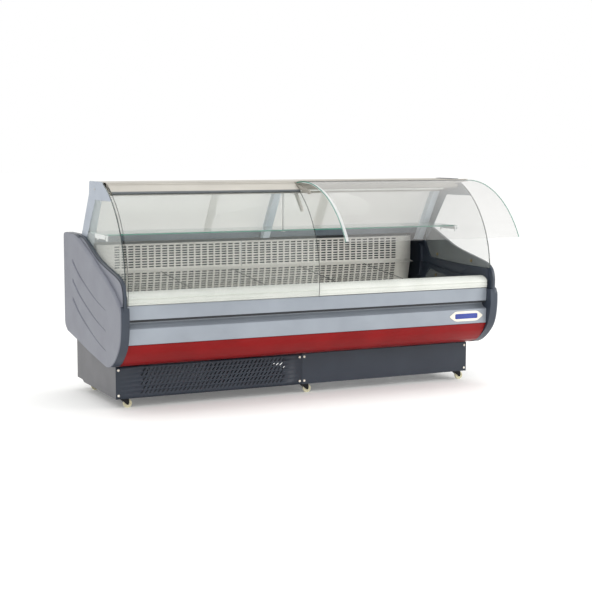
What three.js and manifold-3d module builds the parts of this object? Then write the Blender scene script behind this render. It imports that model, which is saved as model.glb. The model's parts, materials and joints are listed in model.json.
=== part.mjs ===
// A serve-over refrigerated deli case: a welded base on six casters, an insulated
// tub between two moulded ends, and a tilting curved glass front. Millimetres,
// +X along the length, -Y towards the customer, +Z up, standing on the floor.
import * as THREE from "three";
import { mergeVertices } from "three/addons/utils/BufferGeometryUtils.js";
import Module from "manifold-3d";

const wasm = await Module();
wasm.setup();

// Overall sizes
const length = 2380;
const height = 1248;
const depth = 1060;
const nose = -660; // front of the end panels; Y = 0 is near the canopy's rear edge
const gap = 0.4; // between pieces that rest on each other

// Base and casters
const baseFrontInset = 260; // base panels in from the nose and from the rear
const baseRearInset = 65;
const baseBottom = 58;
const baseTop = 246;
const baseSheet = 3;
const frameBottom = 70;
const railHeight = 30;
const railWidth = 40;
const wheelRadius = 25;
const wheelWidth = 20;
const casterTrail = 28;
const casterInset = 54; // pivot from the base's end
const casterMiddle = 25; // middle pair, off centre beside the middle rail
const casterFrontInset = 48;
const casterRearInset = 90;
const axleRadius = 4;
const forkSheet = 2.5;

// Body
const endThickness = 52;
const coverProud = 6; // grey cover over the slate frame
const worktopHeight = 918;
const worktopSlab = 15;
const panelInset = 49; // face of the front panel behind the nose
const bumperTop = 669;
const bumperHeight = 69;
const panelBottom = 386;
const skirtBottom = 242;
const panelSheet = 3;
const tubInset = 53; // tub behind the front panel's face
const tubWall = 50;
const tubRearWall = 56;
const tubBottom = 250;

// Display
const deckRise = 35; // rear of the deck above the bumper
const deckGap = 54; // from the deck's rear edge to the louvre panel
const deckSlope = 0.106;
const deckSheet = 2;
const deckPlates = 5;
const louvreInset = 28; // louvre panel in front of the sill's rear edge
const louvreDrop = 50; // its top below the worktop
const louvreSheet = 2;
const louvrePitch = 33;
const shelfRise = 32; // glass shelf above the worktop
const shelfGlass = 8;
const shelfInset = 134;
const shelfDepth = 315;
const sillInset = 206; // rear edge of the door sill from the rear of the case

// Glass, canopy and doors
const glass = 6;
const glassRadius = 588; // inner face of the curved front
const canopyInset = 156; // canopy's rear edge in front of the sill's
const canopyDepth = 314;
const canopyDrop = 85; // from the top of the case to the canopy's underside
const canopyWall = 3;
const lampWell = 66;
const barrelRadius = 10;
const clampLength = 96;
const openAngle = 37; // the right-hand glass stands open
const postWidth = 45;
const postDepth = 40;
const postInset = 77;
const doorThickness = 5;
const trackPitch = 15;
const doorOverlap = 54;

// Refrigeration and controls
const fanRadius = 88;
const condenserFanRadius = 62;
const gland = 11;

// Worked-out places
const half = length / 2;
const inner = half - endThickness; // inner faces of the end frames
const rear = nose + depth;
const share = (part) => nose + part * depth; // a place along the depth
const baseFront = nose + baseFrontInset;
const baseRear = rear - baseRearInset;
const panelFront = nose + panelInset;
const bumperBottom = bumperTop - bumperHeight;
const tubFront = panelFront + tubInset;
const fit = inner - 2; // half length of what lies between the end frames
const tubHalf = inner - 6;
const tubRear = rear - 12;
const tubInnerFront = tubFront + tubWall;
const tubInnerRear = tubRear - tubRearWall;
const sillRear = rear - sillInset;
const sillTop = worktopHeight + 7;
const sillBottom = sillTop - 40;
const linerHalf = inner - 18; // inner faces of the liners above the deck
const louvreHalf = linerHalf - 60;
const louvreY = sillRear - louvreInset;
const louvreTop = worktopHeight - louvreDrop;
const deckRear = louvreY - deckGap;
const deckRearHeight = bumperTop + deckRise;
const linerTop = deckRearHeight + 0.6135 * (sillBottom - deckRearHeight);
const shelfHeight = worktopHeight + shelfRise;
const shelfRear = sillRear - shelfInset;
const shelfFront = shelfRear - shelfDepth;
const canopyRear = sillRear - canopyInset;
const canopyFront = canopyRear - canopyDepth;
const glassInner = half - 44; // inner face of the end glass
const glassOuter = glassInner + glass;
const canopyUnder = height - canopyDrop;
const condenserX = -(inner - 378);
const lampFront = canopyFront + 50;
const lampRear = lampFront + lampWell;
const lampRoof = canopyUnder + 53;

// Geometry helpers -----------------------------------------------------------

function solid(geometry) {
  const bare = geometry.index ? geometry.toNonIndexed() : geometry.clone();
  bare.deleteAttribute("normal");
  bare.deleteAttribute("uv");
  const merged = mergeVertices(bare, 1e-3);
  return new wasm.Manifold(
    new wasm.Mesh({
      numProp: 3,
      vertProperties: merged.attributes.position.array,
      triVerts: new Uint32Array(merged.index.array),
    }),
  );
}

function join(parts) {
  return parts.reduce((whole, part) => whole.add(part));
}

function cut(whole, parts) {
  return parts.reduce((rest, part) => rest.subtract(part), whole);
}

function surface(made) {
  const mesh = made.getMesh();
  const geometry = new THREE.BufferGeometry();
  geometry.setAttribute("position", new THREE.BufferAttribute(mesh.vertProperties, 3));
  geometry.setIndex(new THREE.BufferAttribute(mesh.triVerts, 1));
  geometry.computeVertexNormals();
  return geometry;
}

function outline(points) {
  return new THREE.Shape(points.map(([y, z]) => new THREE.Vector2(y, z)));
}

// A closed outline in the YZ plane, carried along X from x0 to x1.
function alongX(points, x0, x1, bevel = 0) {
  const shape = Array.isArray(points) ? outline(points) : points;
  const geometry = new THREE.ExtrudeGeometry(shape, {
    depth: x1 - x0 - 2 * bevel,
    bevelEnabled: bevel > 0,
    bevelThickness: bevel,
    bevelSize: bevel,
    bevelOffset: -bevel,
    bevelSegments: 1,
    curveSegments: 8,
  });
  const turn = new THREE.Matrix4().makeBasis(
    new THREE.Vector3(0, 1, 0),
    new THREE.Vector3(0, 0, 1),
    new THREE.Vector3(1, 0, 0),
  );
  geometry.applyMatrix4(turn);
  geometry.translate(x0 + bevel, 0, 0);
  return solid(geometry);
}

// A closed outline in the XZ plane, carried along +Y from y0 to y1.
function alongY(shape, y0, y1) {
  const geometry = new THREE.ExtrudeGeometry(shape, { depth: y1 - y0, bevelEnabled: false });
  geometry.rotateX(Math.PI / 2);
  geometry.translate(0, y1, 0);
  return solid(geometry);
}

function alongZ(shape, z0, z1) {
  const geometry = new THREE.ExtrudeGeometry(shape, { depth: z1 - z0, bevelEnabled: false });
  geometry.translate(0, 0, z0);
  return solid(geometry);
}

function block(x0, x1, y0, y1, z0, z1) {
  const geometry = new THREE.BoxGeometry(x1 - x0, y1 - y0, z1 - z0);
  geometry.translate((x0 + x1) / 2, (y0 + y1) / 2, (z0 + z1) / 2);
  return solid(geometry);
}

function rod(radius, from, to, sides = 16) {
  const start = new THREE.Vector3(...from);
  const end = new THREE.Vector3(...to);
  const geometry = new THREE.CylinderGeometry(radius, radius, start.distanceTo(end), sides);
  const direction = end.clone().sub(start).normalize();
  geometry.applyQuaternion(
    new THREE.Quaternion().setFromUnitVectors(new THREE.Vector3(0, 1, 0), direction),
  );
  const middle = start.add(end).multiplyScalar(0.5);
  geometry.translate(middle.x, middle.y, middle.z);
  return solid(geometry);
}

// The points moved sideways by a distance, with mitred corners.
function offset(points, distance, closed = false) {
  const count = points.length;
  return points.map(([y, z], i) => {
    const before = points[closed ? (i + count - 1) % count : Math.max(i - 1, 0)];
    const after = points[closed ? (i + 1) % count : Math.min(i + 1, count - 1)];
    const into = new THREE.Vector2(y - before[0], z - before[1]).normalize();
    const out = new THREE.Vector2(after[0] - y, after[1] - z).normalize();
    if (!closed && i === 0) into.copy(out);
    if (!closed && i === count - 1) out.copy(into);
    const along = into.clone().add(out).normalize();
    const reach = distance / Math.max(along.dot(into), 0.5);
    return [y - along.y * reach, z + along.x * reach];
  });
}

// A sheet of even thickness that follows a path; it grows to the path's left.
function sheet(points, thickness) {
  return [...points, ...offset(points, thickness).reverse()];
}

function curve(points, steps) {
  const spline = new THREE.SplineCurve(points.map(([y, z]) => new THREE.Vector2(y, z)));
  return spline.getPoints(steps).map((point) => [point.x, point.y]);
}

function arc(centre, radius, from, to, steps) {
  return Array.from({ length: steps + 1 }, (_, i) => {
    const angle = from + ((to - from) * i) / steps;
    return [centre[0] + radius * Math.cos(angle), centre[1] + radius * Math.sin(angle)];
  });
}

function mirrorX(made) {
  const geometry = surface(made);
  geometry.scale(-1, 1, 1);
  const index = geometry.index.array;
  for (let i = 0; i < index.length; i += 3) {
    [index[i + 1], index[i + 2]] = [index[i + 2], index[i + 1]];
  }
  return solid(geometry);
}

const deliCase = new THREE.Group();

function piece(name, made, color, roughness, metalness, parent = deliCase) {
  const material = new THREE.MeshStandardMaterial({ color, roughness, metalness });
  const mesh = new THREE.Mesh(surface(made), material);
  mesh.name = name;
  parent.add(mesh);
  return mesh;
}

const slate = 0x3a4350;
const greyPlastic = 0x9397a2;
const greyPaint = 0xa4abb5;
const redPaint = 0x951e21;
const steel = 0xb9bcc0;
const aluminium = 0xd3dbe3;
const clearGlass = 0xcfe3dd;
const white = 0xecece6;
const black = 0x17181a;

// Base -----------------------------------------------------------------------

const casterX = [-(inner - casterInset), casterMiddle, inner - casterInset];
const casterY = [baseFront + casterFrontInset, baseRear - casterRearInset];

function makeBaseFrame() {
  const endX = tubHalf - 3;
  const y0 = baseFront + 6;
  const y1 = baseRear - 6;
  const top = frameBottom + railHeight;
  const machineRail = condenserX + 195.5; // between the condenser and the compressor
  const bays = [-endX, machineRail, casterMiddle, endX / 2, endX];
  const holes = bays.slice(1).map((x1, i) => {
    const left = bays[i] + (i === 0 ? railWidth : railWidth / 2);
    const right = x1 - (i === bays.length - 2 ? railWidth : railWidth / 2);
    return block(left, right, y0 + railWidth, y1 - railWidth, frameBottom - 9, top + 9);
  });
  const rails = cut(block(-endX, endX, y0, y1, frameBottom, top), holes);
  const parts = [rails, block(-endX + 1, 0, y0 + 1, y1 - 1, frameBottom, frameBottom + baseSheet)];
  for (const x of [-endX, casterMiddle - railWidth / 2, endX - railWidth]) {
    for (const y of [y0, y1 - railWidth]) {
      parts.push(block(x, x + railWidth, y, y + railWidth, top - 1, tubBottom - gap));
    }
  }
  for (const x of casterX) {
    for (const y of casterY) {
      parts.push(block(x - 26, x + 26, y - 24, y + 24, frameBottom - 3, frameBottom + 1));
    }
  }
  return join(parts);
}

// Rows of slots through a panel that stands across Y.
function slots(area, columns, rows, width, tall, shear, y0, y1) {
  const [x0, x1, z0, z1] = area;
  const cutters = [];
  for (let row = 0; row < rows; row += 1) {
    for (let column = 0; column < columns; column += 1) {
      const x = x0 + ((x1 - x0) * (column + 0.5)) / columns;
      const z = z0 + ((z1 - z0) * (row + 0.5)) / rows;
      const slot = outline([
        [x - width / 2 - shear / 2, z - tall / 2],
        [x + width / 2 - shear / 2, z - tall / 2],
        [x + width / 2 + shear / 2, z + tall / 2],
        [x - width / 2 + shear / 2, z + tall / 2],
      ]);
      cutters.push(alongY(slot, y0 - 5, y1 + 5));
    }
  }
  return cutters;
}

function makeFrontGrille() {
  const plate = block(-fit, -gap, baseFront, baseFront + baseSheet, baseBottom, baseTop - 8);
  const window = [-(fit - 140), -132, baseBottom + 14, baseTop - 20];
  return cut(plate, slots(window, 12, 3, 18, 38, 30, baseFront, baseFront + baseSheet));
}

function makeFrontPlain() {
  return block(gap, fit, baseFront, baseFront + baseSheet, baseBottom, baseTop - 8);
}

function makeBaseShell() {
  const side = [
    [baseFront + baseSheet + gap, baseBottom],
    [baseRear - 130, baseBottom],
    [baseRear - 100, baseBottom + 12],
    [baseRear, baseBottom + 12],
    [baseRear, tubBottom + 110],
    [share(0.755), tubBottom + 92],
    [share(0.396), tubBottom + 34],
    [baseFront + 30, baseTop + 2],
    [baseFront + baseSheet + gap, baseTop - 10],
  ];
  const back = block(-fit + 1, fit - 1, baseRear - baseSheet, baseRear, baseBottom + 12, baseTop);
  const vents = [-(fit - 140), -132, baseBottom + 34, baseTop - 30];
  return join([
    alongX(side, -fit, -fit + baseSheet),
    alongX(side, fit - baseSheet, fit),
    cut(back, slots(vents, 8, 2, 60, 20, 0, baseRear - baseSheet, baseRear)),
  ]);
}

piece("base_frame", makeBaseFrame(), 0x4b4e52, 0.6, 0.5);
piece("base_front_grille", makeFrontGrille(), slate, 0.5, 0.3);
piece("base_front_panel", makeFrontPlain(), slate, 0.5, 0.3);
piece("base_shell", makeBaseShell(), 0x6a6b6f, 0.5, 0.3);

// Casters --------------------------------------------------------------------

const forkTop = frameBottom - 3 - gap;

function makeFork(x, y) {
  const axle = x + casterTrail;
  const cheek = outline([
    [x - 20, forkTop - 12],
    [axle - 5, wheelRadius - 7],
    [axle + 4, wheelRadius - 8],
    [axle + 8, wheelRadius + 4],
    [axle + 4, forkTop - 1],
    [x - 20, forkTop - 1],
  ]);
  const inside = y - wheelWidth / 2 - 1.5;
  const outside = y + wheelWidth / 2 + 1.5;
  return join([
    rod(22, [x, y, forkTop - 4], [x, y, forkTop], 12),
    block(x - 20, axle + 4, inside - forkSheet, outside + forkSheet, forkTop - 3, forkTop - 0.5),
    alongY(cheek, inside - forkSheet, inside),
    alongY(cheek, outside, outside + forkSheet),
    rod(axleRadius, [axle, inside - 4, wheelRadius], [axle, outside + 4, wheelRadius], 8),
  ]);
}

function makeWheel(x, y) {
  const edge = wheelWidth / 2;
  const bore = axleRadius + 0.6;
  const profile = [
    [bore, -edge],
    [wheelRadius - 3, -edge],
    [wheelRadius, -edge + 3],
    [wheelRadius, edge - 3],
    [wheelRadius - 3, edge],
    [bore, edge],
    [bore, -edge],
  ].map(([r, h]) => new THREE.Vector2(r, h));
  const geometry = new THREE.LatheGeometry(profile, 18);
  geometry.translate(x + casterTrail, y, wheelRadius);
  return solid(geometry);
}

const cornerNames = ["left", "middle", "right"];
casterX.forEach((x, i) => {
  casterY.forEach((y, j) => {
    const place = (j === 0 ? "front_" : "rear_") + cornerNames[i];
    piece("caster_fork_" + place, makeFork(x, y), black, 0.4, 0.6);
    piece("caster_wheel_" + place, makeWheel(x, y), 0xd8d3b0, 0.5, 0);
  });
});

// Tub and front panels -------------------------------------------------------

function makeTub() {
  const rim = bumperTop - 24;
  const outer = [
    [tubFront, rim],
    ...curve(
      [
        [tubFront, panelBottom + 14],
        [tubFront + 43, panelBottom - 60],
        [tubFront + 100, panelBottom - 104],
        [baseFront + 6, tubBottom],
      ],
      8,
    ),
    [baseRear - 4, tubBottom],
    [baseRear - 4, tubBottom + 122],
    [tubRear, tubBottom + 150],
    [tubRear, worktopHeight - worktopSlab - gap],
  ];
  const cavity = [
    [tubInnerRear, worktopHeight - worktopSlab - gap],
    [tubInnerRear, tubBottom + 200],
    [baseRear - 80, tubBottom + 60],
    [0, tubBottom + 52],
    [tubInnerFront + 120, tubBottom + 62],
    [tubInnerFront + 22, panelBottom + 40],
    [tubInnerFront + 22, rim - 13],
    [tubInnerFront, rim - 13],
    [tubInnerFront, rim],
  ];
  return alongX([...outer, ...cavity], -tubHalf, tubHalf);
}

const coveTop = bumperBottom - 79; // a cove runs along the front panel
const panelPath = [
  [panelFront, bumperBottom - 3],
  [panelFront, coveTop],
  [panelFront + 43, coveTop - 8],
  [panelFront + 44, coveTop - 25],
  [panelFront + 28, coveTop - 40],
  [panelFront - 2, coveTop - 49],
  [panelFront, panelBottom + 36],
  [panelFront, panelBottom],
];

const skirtPath = curve(
  [
    [panelFront + 1, panelBottom - 3],
    [panelFront + 15, panelBottom - 25],
    [panelFront + 35, panelBottom - 57],
    [panelFront + 71, panelBottom - 94],
    [panelFront + 112, panelBottom - 120],
    [baseFront - 6, skirtBottom],
  ],
  12,
);

const bumperOutline = [
  [panelFront + 66, bumperTop - 20],
  [panelFront + 66, bumperTop],
  [panelFront + 14, bumperTop],
  [panelFront + 1, bumperTop - 8],
  [panelFront - 5, bumperTop - 22],
  [panelFront - 6, bumperTop - 30],
  [panelFront - 3, bumperTop - 34],
  [panelFront - 6, bumperTop - 38],
  [panelFront - 5, bumperBottom + 4],
  [panelFront - 1, bumperBottom],
  [panelFront + 8, bumperBottom],
  [panelFront + 8, bumperTop - 22],
];

piece("tub", makeTub(), 0xc9ccce, 0.4, 0.2);
piece("front_panel", alongX(sheet(panelPath, panelSheet), -fit, fit), greyPaint, 0.35, 0.2);
piece("lower_front_panel", alongX(sheet(skirtPath, panelSheet), -fit, fit), redPaint, 0.3, 0.1);
piece("bumper_rail", alongX(bumperOutline, -fit, fit), white, 0.35, 0);

// Curved glass line ----------------------------------------------------------

// The glass turns about the hinge and hangs to the lip; both lie on its middle face.
const hinge = [canopyFront - barrelRadius - 4, height - 20];
const lip = [panelFront - 12, bumperBottom - 1];
const midRadius = glassRadius + glass / 2;

function arcCentre(a, b, radius) {
  const y = (a[0] + b[0]) / 2;
  const z = (a[1] + b[1]) / 2;
  const chord = Math.hypot(b[0] - a[0], b[1] - a[1]);
  const rise = Math.sqrt(radius ** 2 - (chord / 2) ** 2);
  return [y - ((b[1] - a[1]) / chord) * rise, z + ((b[0] - a[0]) / chord) * rise];
}

const centre = arcCentre(hinge, lip, midRadius);
const angleOf = (point) => {
  const angle = Math.atan2(point[1] - centre[1], point[0] - centre[0]);
  return angle < 0 ? angle + 2 * Math.PI : angle;
};
const hingeAngle = angleOf(hinge);
const lipAngle = angleOf(lip);

// End frames, covers and glasses ---------------------------------------------

const undersideOutline = [
  ...curve(
    [
      [nose + 4, bumperBottom - 30],
      [nose + 3, bumperBottom - 90],
      [nose + 9, panelBottom + 69],
      [nose + 22, panelBottom + 19],
      [nose + 48, panelBottom - 28],
      [nose + 95, panelBottom - 75],
      [nose + 148, skirtBottom + 30],
      [nose + 205, skirtBottom + 7],
      [nose + 265, skirtBottom],
    ],
    14,
  ),
  [share(0.396), skirtBottom + 20],
  [share(0.532), skirtBottom + 39],
  [share(0.755), skirtBottom + 78],
  [rear - 55, skirtBottom + 108],
  [rear - 12, skirtBottom + 136],
  [rear, skirtBottom + 163],
];
const plateau = worktopHeight + 18;
const down = (part) => plateau - part * (plateau - bumperBottom);
const rearCorner = [
  [rear, plateau - 24],
  [rear - 6, plateau - 8],
  [rear - 22, plateau],
];
// Slate frame: its upper edge carries the end glass.
const frameOutline = [
  ...undersideOutline,
  ...rearCorner,
  [rear - 200, plateau],
  ...curve(
    [
      [share(0.667), down(0.03)],
      [share(0.518), down(0.214)],
      [share(0.413), down(0.333)],
      [share(0.298), down(0.417)],
      [nose + 144, down(0.515)],
      [nose + 69, down(0.577)],
      [nose + 29, down(0.655)],
      [nose + 10, down(0.762)],
      [nose + 5, down(0.893)],
      [nose + 8, bumperBottom - 8],
    ],
    20,
  ),
];
// Grey cover: the raised face stops at a crease that runs down to the nose.
const coverOutline = [
  ...undersideOutline,
  ...rearCorner,
  [rear - 200, plateau],
  ...curve(
    [
      [rear - 215, down(0.003)],
      [share(0.734), down(0.048)],
      [share(0.611), down(0.179)],
      [share(0.495), down(0.304)],
      [share(0.37), down(0.464)],
      [share(0.2415), down(0.616)],
      [nose + 113, down(0.818)],
      [nose + 12, bumperBottom - 6],
    ],
    12,
  ),
];
const rimWidth = 12;
const frameFace = half - coverProud - gap;
const recessFace = half - 18;
// The end glass stands on this line; the frame's seat follows it a little lower.
const glassFoot = [
  [nose + 244, bumperTop + 48],
  [louvreY - 329, bumperTop + 54.5],
  [louvreY - 120, bumperTop + 67],
  [louvreY - 62, bumperTop + 67 + 0.4456 * (worktopHeight - bumperTop - 56)],
  [louvreY - 10, worktopHeight + 11],
];

function makeFrame() {
  const inside = offset(frameOutline, rimWidth, true);
  const liner = [
    [tubInnerFront + 25, panelBottom + 60],
    [tubInnerFront + 25, bumperTop - 34],
    [tubInnerFront + 3, bumperTop - 34],
    [tubInnerFront + 3, bumperTop - 4],
    [nose + 362, bumperTop - 17],
    [louvreY - 34, deckRearHeight + 1],
    [louvreY - 32, deckRearHeight + 0.536 * (sillBottom - deckRearHeight)],
    [louvreY - 3, linerTop],
    [louvreY - 3, panelBottom + 60],
  ];
  const seat = [
    [nose - 60, bumperBottom - 8],
    [panelFront + 8, bumperBottom - 8],
    [panelFront + 8, bumperTop + 45],
    [glassFoot[0][0], glassFoot[0][1] - 3],
    [glassFoot[1][0], glassFoot[1][1] - 2.5],
    [glassFoot[2][0] - 1, glassFoot[2][1] - 3],
    [glassFoot[3][0] + 8, glassFoot[3][1] - 2],
    [louvreY, worktopHeight + 7],
    [louvreY, height + 60],
    [nose - 60, height + 60],
  ];
  const shell = join([
    alongX(frameOutline, inner, recessFace - 4),
    alongX(coverOutline, inner, frameFace),
    alongX(liner, linerHalf, inner + 1),
  ]);
  return cut(shell, [
    alongX(inside, recessFace - 12, half + 20),
    alongX(seat, inner - 40, glassOuter + gap),
  ]);
}

// Three tapered grooves, deepest at their upper ends.
function grooves() {
  const starts = [0.228, 0.392, 0.55]; // down the cover's height
  const faceHeight = plateau - skirtBottom;
  return starts.map((start) => {
    const at = (y, part) => [rear - y, plateau - (start + part) * faceHeight];
    const upper = curve([at(184, -0.0115), at(330, 0.095), at(600, 0.242), at(812, 0.32)], 8);
    const lower = curve([at(814, 0.327), at(600, 0.261), at(330, 0.1325), at(186, 0.0145)], 8);
    return alongX([...upper, ...lower], half - 7, half + 10);
  });
}

function makeCover() {
  const inside = offset(frameOutline, rimWidth + gap, true);
  const raised = alongX(coverOutline, recessFace - 11, half + 10);
  const pan = alongX(inside, recessFace - 12 + gap, recessFace);
  const boss = alongX(inside, recessFace - 11, half - coverProud + 1).intersect(raised);
  const face = alongX(offset(coverOutline, 1.5, true), half - coverProud, half, 3.5);
  return cut(join([face, boss, pan]), grooves());
}

function makeEndGlass() {
  const edgeRadius = glassRadius - 2;
  const topAngle = hingeAngle - 0.03;
  const bottomAngle = Math.PI + Math.asin((centre[1] - bumperTop - 49) / edgeRadius);
  const shape = [
    [canopyRear - 52, height - 5],
    [canopyRear - 43, height - 73],
    ...glassFoot.toReversed(),
    ...arc(centre, edgeRadius, bottomAngle, topAngle, 18),
    [canopyFront + 26, height],
    [canopyRear - 68, height],
  ];
  return alongX(shape.reverse(), glassInner, glassOuter);
}

const endFrame = makeFrame();
const endCover = makeCover();
const endGlass = makeEndGlass();
piece("end_frame_right", endFrame, slate, 0.45, 0);
piece("end_frame_left", mirrorX(endFrame), slate, 0.45, 0);
piece("end_cover_right", endCover, greyPlastic, 0.45, 0);
piece("end_cover_left", mirrorX(endCover), greyPlastic, 0.45, 0);
piece("end_glass_right", endGlass, clearGlass, 0.05, 0);
piece("end_glass_left", mirrorX(endGlass), clearGlass, 0.05, 0);

// Canopy, posts and sliding doors --------------------------------------------

// The doors lean on two parallel tracks; a point is given by its height and its track.
const doorFoot = [sillRear - 27, sillTop];
const doorHead = [canopyRear - 18.6, canopyUnder];
const lean = (doorFoot[0] - doorHead[0]) / (doorHead[1] - doorFoot[1]);
const leanTurn = Math.atan(lean);

function onLean(z, sideways) {
  const along = doorFoot[0] - lean * (z - doorFoot[1]);
  return [along + (sideways / Math.cos(leanTurn)), z];
}

// A strip that leans with the doors between two heights.
function leaning(z0, z1, middle, thickness) {
  const near = middle - thickness / 2;
  const far = middle + thickness / 2;
  return [onLean(z0, near), onLean(z0, far), onLean(z1, far), onLean(z1, near)];
}

const tracks = [-trackPitch / 2, trackPitch / 2];
const trackSlack = 0.7;
const doorBottom = sillTop - 6;
const doorTop = canopyUnder + 8;

function makeCanopy() {
  const profile = [
    [canopyRear, canopyUnder],
    [canopyRear, height - 36],
    [canopyRear - 20, height - 8],
    [canopyRear - 40, height - 4],
    [canopyFront + 16, height - 4],
    [canopyFront, height - 8],
    [canopyFront, canopyUnder + 34],
    [canopyFront + 24, canopyUnder + 27],
    [lampFront, canopyUnder + 27],
    [lampFront, lampRoof],
    [lampRear, lampRoof],
    [lampRear, canopyUnder + 14],
    [canopyRear - 112, canopyUnder + 14],
    [canopyRear - 100, canopyUnder],
  ];
  const wall = canopyWall;
  const hollow = [
    [canopyRear - wall, canopyUnder + 20],
    [canopyRear - wall, height - 36],
    [canopyRear - 22, height - 8 - wall],
    [canopyRear - 40, height - 4 - wall],
    [canopyFront + 16, height - 4 - wall],
    [canopyFront + wall, height - 8 - wall],
    [canopyFront + wall, canopyUnder + 36],
    [canopyFront + 25, canopyUnder + 27 + wall],
    [lampFront - wall, canopyUnder + 27 + wall],
    [lampFront - wall, lampRoof + wall],
    [lampRear + wall, lampRoof + wall],
    [lampRear + wall, canopyUnder + 14 + wall],
    [canopyRear - 110, canopyUnder + 14 + wall],
    [canopyRear - 98, canopyUnder + wall],
    [canopyRear - 44, canopyUnder + wall],
    [canopyRear - 44, canopyUnder + 20],
  ];
  const grooves = tracks.map((track) =>
    alongX(
      leaning(canopyUnder - 20, doorTop + 4, track, doorThickness + 2 * trackSlack),
      -half,
      half,
    ),
  );
  return cut(alongX(profile, -fit, fit), [alongX(hollow, -half, half), ...grooves]);
}

function makeSill() {
  const front = (z) => onLean(z, -24)[0];
  const profile = [
    [front(sillTop), sillTop],
    [front(sillBottom), sillBottom],
    [sillRear, sillBottom],
    [sillRear, sillTop],
  ];
  const grooves = tracks.map((track) =>
    alongX(
      leaning(doorBottom - 2, sillTop + 20, track, doorThickness + 2 * trackSlack),
      -half,
      half,
    ),
  );
  return cut(alongX(profile, -fit, fit), grooves);
}

function makePost(x, bottom) {
  const middle = -24 - 8 - postDepth / 2;
  const profile = leaning(bottom, canopyUnder - gap, middle, postDepth);
  return alongX(profile, x - postWidth / 2, x + postWidth / 2);
}

function makeLamp() {
  const y = (lampFront + lampRear) / 2;
  const top = lampRoof - gap;
  const tube = rod(13, [-(fit - 60), y, top - 24], [fit - 60, y, top - 24], 12);
  const batten = block(-(fit - 50), fit - 50, y - 20, y + 20, top - 18, top);
  return tube.add(batten);
}

piece("canopy", makeCanopy(), 0xbdbab2, 0.4, 0.4);
piece("canopy_lamp", makeLamp(), white, 0.3, 0);
piece("door_sill", makeSill(), 0x8b949d, 0.4, 0.5);
const outerPostFoot = linerTop + 28;
const postBottoms = [outerPostFoot, sillBottom - 1, outerPostFoot];
[-(half - postInset), 0, half - postInset].forEach((x, i) => {
  piece("post_" + cornerNames[i], makePost(x, postBottoms[i]), aluminium, 0.3, 0.7);
});

// Three doors: the outer two run on the rear track, the middle one on the front track.
const doorWidth = (2 * fit - 6 + 2 * doorOverlap) / 3;

const pullHeight = 24;

function makeDoor(x0, track, pullX) {
  const pane = alongX(leaning(doorBottom, doorTop, track, doorThickness), x0, x0 + doorWidth);
  const side = track > 0 ? 1 : -1;
  const middle = track + side * (doorThickness / 2 + 1);
  const pullBottom = sillTop + 85;
  const strip = leaning(pullBottom, pullBottom + pullHeight, middle, 4);
  return pane.add(alongX(strip, pullX, pullX + pullHeight));
}

const doorLeft = -fit + 3;
const doorStep = doorWidth - doorOverlap;
const pullInsets = [doorWidth - 84, 60, doorWidth - 38];
["left", "middle", "right"].forEach((place, i) => {
  const x0 = doorLeft + i * doorStep;
  const track = i === 1 ? tracks[0] : tracks[1];
  piece("door_" + place, makeDoor(x0, track, x0 + pullInsets[i]), 0xdfe0dc, 0.25, 0);
});

// Worktop, louvre panel and deck ---------------------------------------------

function makeWorktop() {
  const top = worktopHeight;
  const profile = [
    [sillRear + gap, top - worktopSlab],
    [rear - 2, top - worktopSlab],
    [rear - 2, top - 3],
    [rear - 5, top],
    [sillRear + gap, top],
  ];
  return alongX(profile, -fit, fit);
}

function makeLouvre() {
  const path = [
    [louvreY + 16, louvreTop],
    [louvreY, louvreTop],
    [louvreY, deckRearHeight + 8],
    [deckRear - 12, deckRearHeight - 5.5],
  ];
  const panel = alongX(sheet(path, louvreSheet), -louvreHalf, louvreHalf);
  const windowHalf = louvreHalf - 108;
  const window = [-windowHalf, windowHalf, deckRearHeight + 20, louvreTop - 10];
  const rows = Math.floor((window[3] - window[2]) / louvrePitch);
  return cut(panel, slots(window, 12, rows, 110, 12, 0, louvreY, louvreY + louvreSheet));
}

function deckHeight(y) {
  return deckRearHeight + (y - deckRear) * deckSlope;
}

function makeDeck(index) {
  const deckHalf = linerHalf - 5;
  const pitch = (2 * deckHalf) / deckPlates;
  const x0 = -deckHalf + index * pitch + 1;
  const front = tubInnerFront + 4;
  const path = [
    [deckRear, deckHeight(deckRear)],
    [front, deckHeight(front)],
    [front, bumperTop - 37 + gap],
  ];
  return alongX(sheet(path, deckSheet), x0, x0 + pitch - 2);
}

piece("worktop", makeWorktop(), steel, 0.3, 1);
piece("louvre_panel", makeLouvre(), 0xc6cacd, 0.35, 0.6);
for (let i = 0; i < deckPlates; i += 1) {
  piece("deck_plate_" + (i + 1), makeDeck(i), steel, 0.1, 1);
}

// Shelf ----------------------------------------------------------------------

const shelfHalf = glassInner - 6;
const shelfTop = shelfHeight + shelfGlass;
const hangerY = lampRear + 20;

function makeShelf() {
  const corner = 14;
  const shape = outline([
    [-shelfHalf + corner, shelfFront],
    [shelfHalf - corner, shelfFront],
    [shelfHalf, shelfFront + corner],
    [shelfHalf, shelfRear],
    [-shelfHalf, shelfRear],
    [-shelfHalf, shelfFront + corner],
  ]);
  const hole = rod(6.5, [0, hangerY, shelfHeight - 9], [0, hangerY, shelfTop + 9], 12);
  return alongZ(shape, shelfHeight, shelfTop).subtract(hole);
}

// A hanger rod from the canopy, with a nut under the shelf.
function makeHanger() {
  return join([
    rod(5.5, [0, hangerY, shelfHeight - 12], [0, hangerY, canopyUnder + 14 - gap], 12),
    rod(11, [0, hangerY, shelfHeight - 12], [0, hangerY, shelfHeight - gap], 12),
  ]);
}

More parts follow.
